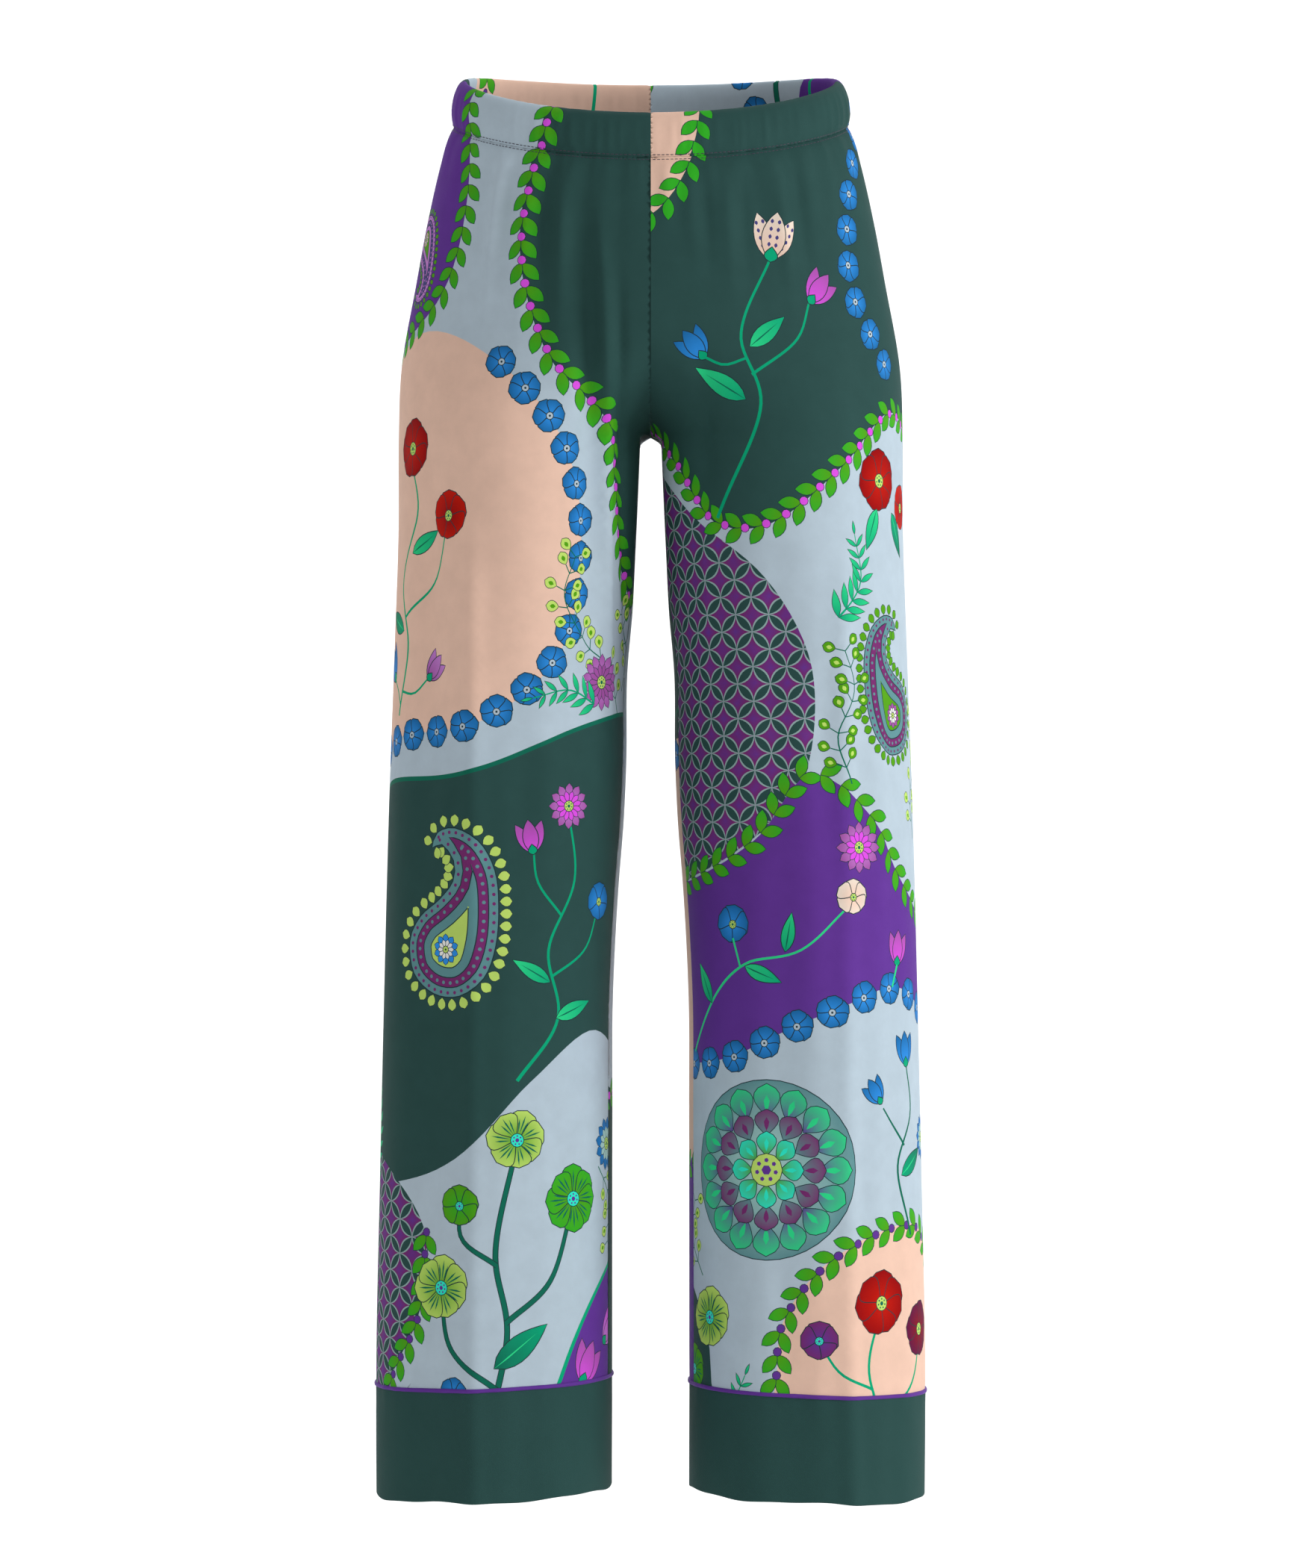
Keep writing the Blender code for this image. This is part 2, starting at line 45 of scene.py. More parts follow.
# The garment's form, as in the part's source
BAND_DOWN = 33.4 * MM
CROTCH_DOWN = 265 * MM
FRONT_HOOK = 80 * MM
BACK_HOOK = 135 * MM
PARTING_START, PARTING_END = 1.6, 1.7
FORK_ROUND = 2.6 * MM
FORK_SPREAD = 150 * MM
FORK_SOFT = 2 * MM
WAIST_RISE = 21 * MM
WAIST_DIP = 13 * MM
TILT_FADE = 150 * MM
LEFT, RIGHT = 1, -1
FRONT, BACK = -1, 1
SEAM_DOWN = {LEFT: 964.5 * MM, RIGHT: 959.5 * MM}
HEM_DOWN = {LEFT: 1042.5 * MM, RIGHT: 1041.5 * MM}
CUFF_LIFT = {LEFT: 3.2 * MM, RIGHT: 3.4 * MM}
LIFT_FADE = 200 * MM
HEM_WAVES = 5
HEM_WAVE = 0.9 * MM
INSEAM_FORWARD = 24 * MM
INSEAM_FADE = 110 * MM
ROUNDNESS = 0.95
LOOP_POINTS = 361
SEAM_FLAT = 9 * MM
PIPING_RADIUS = 1.5 * MM
PIPING_SUNK = 0.2 * MM

# What the cloth adds to that form
CLOTH = 0.7 * MM
SEAM_SINK = 0.6 * MM  # how deep a seam lies in the surface
SEAM_HALF = 1.5 * MM
CENTRE_HALF = 3 * MM
NOTCH = -1.2 * MM  # where the casing is stitched down
NOTCH_HALF = 2.6 * MM
RIPPLE_REACH = 10 * MM
PUCKERS_TOP, PUCKERS_FOOT = 14 * MM, 8 * MM  # how far from the casing's edges its puckers are full
JOINT_REACH = 9 * MM  # how far up the casing the creases below it show
INSIDE_SHARE = 0.4  # how much of all that shows on the casing's inside
CREASE_FLAT = 5 * MM  # how near to a seam the small creases end
CUFF_DEEP = 2.4 * MM
COLUMNS = 150  # across a panel
RING_COLUMNS = 400  # round a cuff or a piping
# The places of those round a leg, as shares and as angles
SHARE = np.arange(RING_COLUMNS) / RING_COLUMNS
AROUND = 2 * math.pi * SHARE
STITCH, STITCH_GAP, THREAD = 2.5 * MM, 0.7 * MM, 0.28 * MM
CASING_STITCH = 1.6  # mm up from the casing's foot
PANEL_STITCH = BAND_DOWN + 1.9 * MM
LAYOUT_LENGTH = 1010  # mm; the backs' prints are the fronts' turned half round within this length

# Puckers: how many across a panel or round a leg, height in mm, half width as a share, and reach in mm
WAIST_PUCKERS = 17, 0.55, 0.016, 24
HEM_PUCKERS = 11, 0.40, 0.022, 16
CUFF_PUCKERS = 31, 0.45, 0.011, 9
CASING_PUCKERS = 22, 0.75, 0.012
PIPING_PUCKERS = 47, 0.07, 0.006  # here the height is a share of the radius

# Mesh of the right side and of the wrong side: point spacing between two heights of the print, in mm
TOP, FOOT = -1e6, 1e6
PANEL_MESH = (2.6, TOP, 85), (3.6, 85, 290), (6, 290, 935), (3, 935, FOOT)
LINING_MESH = (4.5, TOP, 500), (8, 500, FOOT)
CASING_MESH = ((2.2, TOP, FOOT),)
FACING_MESH = ((3.5, TOP, FOOT),)


def read(table):
    """A table's columns by name, as arrays. Its first row holds the names."""
    names, *rows = table
    return {name: np.array(values, float) for name, values in zip(names, zip(*rows))}


# Level sections in mm: half width at the side seam, and how far the front and the back stand from the
# side seam, which itself lies seam_y behind the origin
SECTIONS = read([
    ("down", "side", "front", "back", "seam_y"),
    (0, 146.8, 100, 101, 0), (33.8, 145.9, 100, 102, 0), (45, 150.6, 103.5, 107, 0),
    (62, 155.2, 106.5, 113, 0), (106, 165, 113, 129, -1), (150, 173, 117.5, 141, -2),
    (216, 184.2, 119.5, 149, -2), (265, 186, 117.5, 142, -2), (330, 186.2, 112, 126, -1),
    (415, 189, 106, 112, 0), (548, 193.8, 98, 102, 2), (680, 197.3, 93.5, 97, 4), (812, 200.4, 91, 94, 6),
    (945, 203.2, 90, 93, 8), (1060, 202.8, 90, 93, 9),
])

# Half the gap between the legs, in mm
LEG_GAP = read([
    ("down", "half"),
    (265, 7.6), (283, 8.3), (349, 11.3), (393, 13.5), (437, 17.2), (504, 18), (548, 20), (592, 23.5),
    (636, 26.2), (680, 28), (760, 28.3), (960, 28.5), (1060, 28.5),
])

# The print's upright, in mm from the centre plane
GRAIN = read([("down", "x"), (0, 100), (500, 115.5), (1100, 115.5)])

# The waistband's cross-section, in mm: down from its top, and out from the waist's section
BAND_PROFILE = read([
    ("down", "out"),
    (33.4, -1.2), (29, -0.1), (21, 0.3), (12, -1), (6, -3), (2.2, -5.4), (0, -8.6), (1.6, -11.2),
    (8, -11.4), (18, -9.3), (33.4, -5.6),
])

# Soft gathers under the waistband, in mm: share of the way from the centre seam to the side seam, how
# far down each runs, and how high it stands
GATHERS = {
    (RIGHT, FRONT): (
        (0.06, 60, 1), (0.165, 90, 1.5), (0.285, 150, 2.4), (0.41, 165, 2.8), (0.54, 150, 2.5),
        (0.665, 95, 1.6), (0.775, 70, 1.3), (0.9, 55, 1),
    ),
    (LEFT, FRONT): (
        (0.075, 70, 1.2), (0.2, 130, 2), (0.31, 105, 1.8), (0.43, 140, 2.3), (0.565, 120, 2.1),
        (0.68, 85, 1.5), (0.79, 70, 1.3), (0.905, 50, 1),
    ),
    (RIGHT, BACK): (
        (0.08, 95, 1.6), (0.19, 120, 2.2), (0.32, 150, 2.5), (0.445, 110, 2), (0.56, 135, 2.3),
        (0.69, 90, 1.6), (0.8, 75, 1.4), (0.91, 50, 1),
    ),
    (LEFT, BACK): (
        (0.065, 85, 1.5), (0.185, 140, 2.4), (0.3, 115, 2), (0.425, 145, 2.5), (0.55, 100, 1.9),
        (0.66, 110, 1.8), (0.785, 70, 1.3), (0.9, 55, 1),
    ),
}
GATHER_HALF = 8  # mm
BAND_RIPPLE = 0.35  # how much of a gather's height reaches the foot of the waistband

# Long folds, in mm: distance from the centre plane at the fold's top and end, its run down the garment,
# half its width, and its height, where less than 0 is a trough
FOLDS = {
    (RIGHT, FRONT): (
        (42, 37, 95, 470, 9, -4), (31, 29, 105, 440, 8, 2.6), (158, 163, 205, 610, 17, -3.2),
        (96, 83, 220, 600, 24, 2.4), (88, 92, 480, 600, 12, -1.8), (92, 126, 500, 1240, 22, 4.2),
    ),
    (LEFT, FRONT): (
        (34, 48, 180, 430, 10, -2.8), (150, 160, 160, 420, 16, -2), (122, 130, 420, 620, 13, -2.8),
        (165, 172, 430, 700, 12, 1.8), (108, 127, 280, 1240, 21, 4.4),
    ),
    (RIGHT, BACK): (
        (54, 92, 235, 470, 13, -3.4), (126, 108, 300, 620, 20, 2.4), (150, 142, 420, 800, 15, -2.2),
        (104, 118, 560, 1240, 22, 3.4),
    ),
    (LEFT, BACK): (
        (48, 84, 240, 440, 12, -3.2), (116, 104, 280, 560, 20, 2.6), (148, 154, 500, 860, 16, -2.4),
        (98, 117, 600, 1240, 22, 3.6),
    ),
}
GATHER_RISE = 0.10  # share of its run over which a gather or fold grows to its full height
FOLD_RISE = 0.30

# Small creases that the solids leave out, in the same columns
CREASES = {
    (RIGHT, FRONT): (
        (9, 46, 262, 330, 5, -1.6), (12, 62, 246, 300, 5, 1.2), (22, 24, 44, 190, 5, -0.7),
        (60, 52, 44, 260, 6, -0.9), (118, 130, 46, 210, 6, -0.8), (140, 150, 300, 520, 9, 1),
        (66, 58, 420, 660, 9, -1.1), (150, 158, 620, 900, 12, -1.4), (70, 62, 700, 955, 10, -1.2),
        (104, 96, 860, 962, 6, -0.8), (107, 124, 22, 225, 5.5, 2.2), (97, 108, 22, 200, 5, -1.9),
        (87, 98, 20, 235, 5.5, 2.4), (75, 80, 22, 240, 5.5, -2.3), (63, 67, 20, 245, 5.5, 2.4),
        (50, 42, 40, 520, 8, -3.4), (37, 28, 60, 520, 4.8, 2.9), (24, 17, 120, 500, 4.8, -3.1),
        (129, 129, 300, 1200, 9, 3.4), (164, 164, 280, 1200, 19, -3.4), (94, 90, 400, 1200, 17, -2.2),
    ),
    (LEFT, FRONT): (
        (9, 52, 262, 345, 5, -1.5), (14, 70, 240, 292, 5, 1.1), (30, 26, 44, 200, 5, -0.7),
        (76, 82, 44, 240, 6, -0.9), (132, 150, 46, 180, 6, -0.8), (90, 84, 330, 560, 9, -1.1),
        (60, 66, 560, 800, 10, -1.2), (156, 150, 700, 955, 12, -1.3), (92, 98, 850, 966, 7, -0.9),
        (10, 12, 20, 120, 5, 1.5), (27, 31, 22, 170, 5, 2), (38, 44, 22, 180, 5, -2),
        (52, 60, 20, 200, 5.5, 2.1), (64, 74, 22, 210, 5.5, -2), (90, 104, 20, 215, 5.5, 2.1),
        (103, 118, 22, 190, 5.5, -1.7), (44, 38, 280, 460, 8, 2.6), (138, 148, 330, 1200, 9, 3.4),
        (100, 106, 330, 1200, 22, -3.6), (176, 176, 380, 1200, 12, -1.6),
    ),
    (RIGHT, BACK): (
        (8, 60, 258, 372, 6, -2), (10, 84, 232, 318, 6, 1.4), (40, 36, 44, 210, 5, -0.8),
        (96, 104, 44, 230, 6, -0.9), (74, 66, 470, 700, 10, -1.3), (150, 160, 640, 940, 12, -1.4),
        (84, 76, 760, 960, 9, -1.1),
    ),
    (LEFT, BACK): (
        (8, 66, 258, 380, 6, -1.9), (10, 78, 228, 306, 6, 1.3), (52, 46, 44, 190, 5, -0.8),
        (110, 122, 44, 250, 6, -0.9), (80, 72, 430, 690, 10, -1.3), (146, 152, 600, 900, 12, -1.3),
        (92, 86, 780, 962, 9, -1.1),
    ),
}


def ease(t):
    """0 to 1 with level ends."""
    t = np.clip(t, 0, 1)
    return t * t * (3 - 2 * t)


def bell(distance, half):
    """1 in the middle, fading to both sides."""
    return np.exp(-((distance / half) ** 2))


def unit(vectors):
    """Vectors scaled to length 1."""
    return vectors / (np.linalg.norm(vectors, axis=-1, keepdims=True) + 1e-12)


def smooth(table, name, down):
    """A column's value, in metres, at a height given in metres, on a smooth curve through the rows."""
    places = table["down"] * MM
    values = table[name] * MM
    slopes = np.gradient(values, places)
    down = np.clip(down, places[0], places[-1])
    i = int(np.clip(np.searchsorted(places, down, "right") - 1, 0, len(places) - 2))
    span = places[i + 1] - places[i]
    t = (down - places[i]) / span
    start = (1 + 2 * t) * (1 - t) ** 2 * values[i] + t * (1 - t) ** 2 * span * slopes[i]
    end = t * t * (3 - 2 * t) * values[i + 1] + t * t * (t - 1) * span * slopes[i + 1]
    return start + end


def run(down, top, end, rise):
    """Strength of a fold along its run, 0 at its top and its end."""
    t = (down - top) / (end - top)
    return float(ease(t / rise) * ease((1 - t) / (1 - rise)))


def crease_run(down, top, end):
    """Strength of a small crease, which takes longer to fade than to grow. All in mm."""
    grow, fade = min(0.35 * (end - top), 90), min(0.65 * (end - top), 170)
    return float(ease((down - top) / grow) * ease((end - down) / fade))


def lengths(x, y):
    """Distance along a line of points."""
    return np.concatenate(([0], np.cumsum(np.hypot(np.diff(x), np.diff(y)))))


def face_curve(down, face):
    """Half of a level section, on one face: x, and distance from the side seam's plane, centre to side.

    Above the crotch the curve ends on the centre plane. From the top of the crotch curve down, the
    body's one oval parts into two, which only touch at the crotch.
    """
    side = smooth(SECTIONS, "side", down)
    depth = smooth(SECTIONS, "front" if face == FRONT else "back", down)
    if down <= CROTCH_DOWN:
        hook = FRONT_HOOK if face == FRONT else BACK_HOOK
        along = float(np.clip((down - CROTCH_DOWN + hook) / hook, 0, 1))
        parting = 1 - (1 - along**PARTING_START) ** PARTING_END
        half = side / (1 + parting)
        middle = parting * half
    else:
        inner = smooth(LEG_GAP, "half", down) * fork_spread(down)
        half = (side - inner) / 2
        middle = (side + inner) / 2
    angle = np.linspace(0, math.pi, LOOP_POINTS)
    cosine, sine = np.cos(angle), np.sin(angle)
    x = middle + half * np.sign(cosine) * np.abs(cosine) ** ROUNDNESS
    out = depth * np.abs(sine) ** ROUNDNESS
    if down <= CROTCH_DOWN:
        centre_out = np.interp(0, x[::-1], out[::-1])
        keep = x > 1e-6
        x = np.append(x[keep], 0)
        out = np.append(out[keep], centre_out)
    else:
        x = clear_of_fork(x, down)
    return x[::-1], out[::-1]


def fork_spread(down):
    """How far the whole leg, and not only its inner side, has moved clear of the other, from 0 to 1."""
    return float(ease((down - CROTCH_DOWN) / FORK_SPREAD))


def clear_of_fork(x, down):
    """Flattens the inner side of a leg where it would come nearer to the centre plane than the gap."""
    start = min((down - CROTCH_DOWN) / FORK_ROUND, 1)
    opened = math.sqrt(1 - (1 - start) ** 2)
    gap = smooth(LEG_GAP, "half", down) * opened
    soft = FORK_SOFT * opened * (1 - fork_spread(down))
    return (x + gap + np.sqrt((x - gap) ** 2 + soft**2)) / 2


def uneven(count, seed):
    """Numbers from 0 to 1 that look unordered and are the same each run."""
    return np.mod(np.sin(np.arange(count) * 12.9898 + seed * 78.233) * 43758.5453, 1)


def puckers(share, count, seed, half):
    """Narrow ridges at uneven places across a panel, 1 at the highest."""
    places = (np.arange(count) + 0.5 + 0.7 * (uneven(count, seed) - 0.5)) / count
    tall = 0.35 + 0.65 * uneven(count, seed + 3.1)
    wide = half * (0.7 + 0.6 * uneven(count, seed + 7.7))
    return bell(share[:, None] - places, wide) @ tall - 0.3


class Section:
    """One level section of one side: from the centre front or inseam, round the side seam, to the back."""

    def __init__(self, down, side):
        self.down, self.side = down, side
        front_x, front_out = face_curve(down, FRONT)
        back_x, back_out = face_curve(down, BACK)
        self.seam_y = smooth(SECTIONS, "seam_y", down)
        self.x = np.concatenate((front_x, back_x[::-1][1:]))
        self.y = self.seam_y + np.concatenate((-front_out, back_out[::-1][1:]))
        self.at = lengths(self.x, self.y)
        self.split = len(front_x)
        self.side_at, self.total = self.at[self.split - 1], self.at[-1]
        self.closed = down > CROTCH_DOWN
        self.start = ease((down - CROTCH_DOWN) / INSEAM_FADE) * INSEAM_FORWARD if self.closed else 0
        self.end = self.total + self.start
        self.normal_x, self.normal_y = np.gradient(self.y, self.at), -np.gradient(self.x, self.at)

    def places(self):
        """Distances of the columns of the front panel and then of the back panel, seams included once."""
        front = np.linspace(self.start, self.side_at, COLUMNS + 1)
        back = np.linspace(self.side_at, self.end, COLUMNS + 1)
        return np.concatenate((front, back[1:]))

    def panel(self, face):
        """A panel's two ends along the section, and its x and its distances, from the centre out."""
        if face == FRONT:
            return self.start, self.side_at, self.x[: self.split], self.at[: self.split]
        return self.side_at, self.end, self.x[self.split - 1 :][::-1], self.at[self.split - 1 :][::-1]

    def look_up(self, values, at):
        """Values at distances along the section, which wraps round on a leg."""
        return np.interp(np.mod(at, self.total) if self.closed else at, self.at, values)

    def fold_height(self, at):
        """How far gathers and folds move the cloth out at these distances."""
        height = np.zeros(len(at))
        for face in (FRONT, BACK):
            low, high, line_x, line_at = self.panel(face)
            flat = ease((at - low) / SEAM_FLAT) * ease((high - at) / SEAM_FLAT)
            for x, half, tall in self.folds(face):
                ridge = flat * tall * bell(at - np.interp(x, line_x, line_at), half)
                height += np.where((at >= low) & (at <= high), ridge, 0)
        return height

    def folds(self, face):
        """Place across, half width and height, in metres, of each fold that this section cuts."""
        found = []
        band_x, band_out = face_curve(BAND_DOWN, face)
        band_at = lengths(band_x, band_out)
        fan = smooth(SECTIONS, "side", self.down) / smooth(SECTIONS, "side", BAND_DOWN)
        for share, reach, tall in GATHERS[self.side, face]:
            strength = run(self.down, BAND_DOWN, BAND_DOWN + reach * MM, GATHER_RISE)
            if strength:
                x = np.interp(share * band_at[-1], band_at, band_x) * fan
                found.append((x, GATHER_HALF * MM * fan, tall * MM * strength))
        for x_top, x_end, top, end, half, tall in FOLDS[self.side, face]:
            strength = run(self.down, top * MM, end * MM, FOLD_RISE)
            if strength:
                t = (self.down - top * MM) / ((end - top) * MM)
                found.append(((x_top + (x_end - x_top) * t) * MM, half * MM, tall * MM * strength))
        return found

    def small_folds(self, at):
        """Heights of the small creases and puckers at these distances."""
        height = np.zeros(len(at))
        for face in (FRONT, BACK):
            low, high, line_x, line_at = self.panel(face)
            flat = ease((at - low) / CREASE_FLAT) * ease((high - at) / CREASE_FLAT)
            found = np.zeros(len(at))
            for x_top, x_end, top, end, half, tall in CREASES[self.side, face]:
                strength = crease_run(self.down / MM, top, end)
                if strength:
                    t = (self.down - top * MM) / ((end - top) * MM)
                    middle = np.interp((x_top + (x_end - x_top) * t) * MM, line_x, line_at)
                    found += tall * MM * strength * bell(at - middle, half * MM)
            share = (at - low) / (high - low)
            seed = 2 * self.side + face
            below, above = self.down - BAND_DOWN, SEAM_DOWN[self.side] - self.down
            for distance, (count, tall, half, reach), more in (
                (below, WAIST_PUCKERS, 0), (above, HEM_PUCKERS, 0.5),
            ):
                found += tall * MM * bell(distance, reach * MM) * puckers(share, count, seed + more, half)
            height += np.where((at >= low) & (at <= high), flat * found, 0)
        return height

    def points(self, at, out=0):
        """World points at distances along the section, moved out by a distance."""
        x = self.look_up(self.x, at) + out * self.look_up(self.normal_x, at)
        y = self.look_up(self.y, at) + out * self.look_up(self.normal_y, at)
        z = -self.down + self.tilt(at) + self.lift(x)
        return np.column_stack((self.side * x, y, z))

    def tilt(self, at):
        """The dip of the waistline, fading down the garment."""
        y = self.look_up(self.y, at) - self.seam_y
        front = smooth(SECTIONS, "front", self.down)
        back = smooth(SECTIONS, "back", self.down)
        reach = np.where(y < 0, y / front, y / back)
        fade = 1 - ease((self.down - BAND_DOWN) / TILT_FADE)
        return fade * (WAIST_RISE * reach - WAIST_DIP * reach**2)

    def lift(self, x):
        """The slope of the cuff seam and hem across a leg."""
        fade = ease((self.down - SEAM_DOWN[self.side] + LIFT_FADE) / LIFT_FADE)
        outer = smooth(SECTIONS, "side", self.down)
        inner = smooth(LEG_GAP, "half", self.down)
        return fade * CUFF_LIFT[self.side] * (1 - 2 * (x - inner) / (outer - inner))


INKS = {
    "dark_green": (46, 79, 76), "pale_blue": (186, 203, 215), "violet": (101, 56, 152),
    "plum": (122, 47, 112), "peach": (240, 201, 180), "lime": (86, 163, 22),
    "grass": (52, 178, 40), "magenta": (226, 84, 232), "red": (205, 28, 10),
    "crimson": (146, 6, 12), "blue": (28, 104, 164), "sky": (52, 150, 238),
    "mint": (8, 170, 122), "spring": (48, 218, 140), "aqua": (48, 238, 206),
    "chartreuse": (196, 228, 112), "slate": (98, 148, 152), "pale_line": (150, 178, 178),
    "cream": (238, 224, 208), "ink": (38, 58, 64), "lavender": (202, 134, 216),
    "orchid": (166, 86, 166), "indigo": (76, 72, 132), "white": (244, 244, 240),
    "ice": (176, 214, 210), "wine": (92, 22, 70), "leaf_dark": (20, 110, 88),
}
# A leaf's two tones and its vein, and a flower heart's ground and dots
SPRING_LEAF = "spring", "mint", "leaf_dark"
MINT_LEAF = "mint", "spring", "leaf_dark"
DEEP_LEAF = "mint", "leaf_dark", "spring"
DARK_LEAF = "leaf_dark", "mint", "spring"
LIME_HEART = "aqua", "violet"
GOLD_HEART = "chartreuse", "leaf_dark"

PAISLEY = np.array([
    (0, -0.30), (0.20, -0.24), (0.31, -0.06), (0.28, 0.12), (0.16, 0.28), (0.10, 0.42), (0.14, 0.54),
    (0.26, 0.60), (0.34, 0.55), (0.33, 0.66), (0.20, 0.74), (0.02, 0.72), (-0.14, 0.58), (-0.24, 0.38),
    (-0.31, 0.14), (-0.31, -0.08), (-0.20, -0.24),
])


def turned(shape, at, angle):
    """A shape that grows along its second axis, moved to a place and turned. At 0 degrees it points up."""
    a = math.radians(angle)
    across = np.array((math.cos(a), math.sin(a)))
    forward = np.array((math.sin(a), -math.cos(a)))
    return np.asarray(at, float) + shape[:, :1] * across + shape[:, 1:] * forward


def away(at, angle, distance):
    a = math.radians(angle)
    return (at[0] + distance * math.sin(a), at[1] - distance * math.cos(a))


def bud(length, width, widest=0.5, blunt=1, count=9):
    """A petal or leaf: its width goes as a sine, widest at a share of its length."""
    along = np.linspace(0, 1, count)
    half = width / 2 * np.sin(np.pi * along ** (math.log(0.5) / math.log(widest))) ** blunt
    side = np.column_stack((half, along * length))
    return np.vstack((side, side[-2:0:-1] * (-1, 1)))


def circle(radius, count=14):
    a = np.arange(count) * 2 * math.pi / count
    return radius * np.column_stack((np.cos(a), np.sin(a)))


def inset(points, by):
    """A polygon's points, each moved in."""
    before, after = np.roll(points, 1, 0), np.roll(points, -1, 0)
    along = after - before
    length = np.hypot(*along.T)[:, None] + 1e-9
    area = np.sum(points[:, 0] * after[:, 1] - after[:, 0] * points[:, 1])
    side = np.column_stack((-along[:, 1], along[:, 0])) / length * math.copysign(1, area)
    return points + side * by


def shrink(points, by):
    """A polygon's outline moved in, without the loops that a plain inset makes at its tips."""
    moved = inset(points, by)
    edge = np.roll(points, -1, 0) - points
    gap = moved[:, None] - points[None]
    along = np.clip(np.sum(gap * edge, 2) / (np.sum(edge * edge, 1) + 1e-9), 0, 1)
    near = np.linalg.norm(gap - along[..., None] * edge, axis=2).min(1)
    return moved[near > by * 0.96]


def curve(points, step, closed=False):
    """A smooth line through points."""
    knots = np.asarray(points, float)
    if closed:
        ring = np.vstack((knots[-1:], knots, knots[:2]))
    else:
        ring = np.vstack((2 * knots[0] - knots[1], knots, 2 * knots[-1] - knots[-2]))
    out = []
    for a, b, c, d in zip(ring, ring[1:], ring[2:], ring[3:]):
        n = max(2, int(np.hypot(*(c - b)) / step))
        t = (np.arange(n) / n)[:, None]
        bend = (2 * a - 5 * b + 4 * c - d) * t**2 + (3 * b - a - 3 * c + d) * t**3
        out.append(0.5 * (2 * b + (c - a) * t + bend))
    return np.vstack(out + ([] if closed else [knots[-1:]]))


def even(points, step):
    """Points at equal distances along a line, with the heading at each."""
    line = curve(points, 2)
    along = lengths(*line.T)
    at = np.linspace(0, along[-1], max(2, int(round(along[-1] / step)) + 1))
    spots, ahead, back = (
        np.column_stack([np.interp(at + by, along, values) for values in line.T]) for by in (0, 0.5, -0.5)
    )
    way = ahead - back
    return spots, np.degrees(np.arctan2(way[:, 0], -way[:, 1]))


def holds(polygon, spots):
    """Which spots lie inside a polygon."""
    inside = np.zeros(len(spots), bool)
    x, y = spots[:, 0], spots[:, 1]
    for (x0, y0), (x1, y1) in zip(polygon, np.roll(polygon, -1, 0)):
        if y0 != y1:
            cross = (y0 > y) != (y1 > y)
            inside ^= cross & (x < (x1 - x0) * (y - y0) / (y1 - y0) + x0)
    return inside


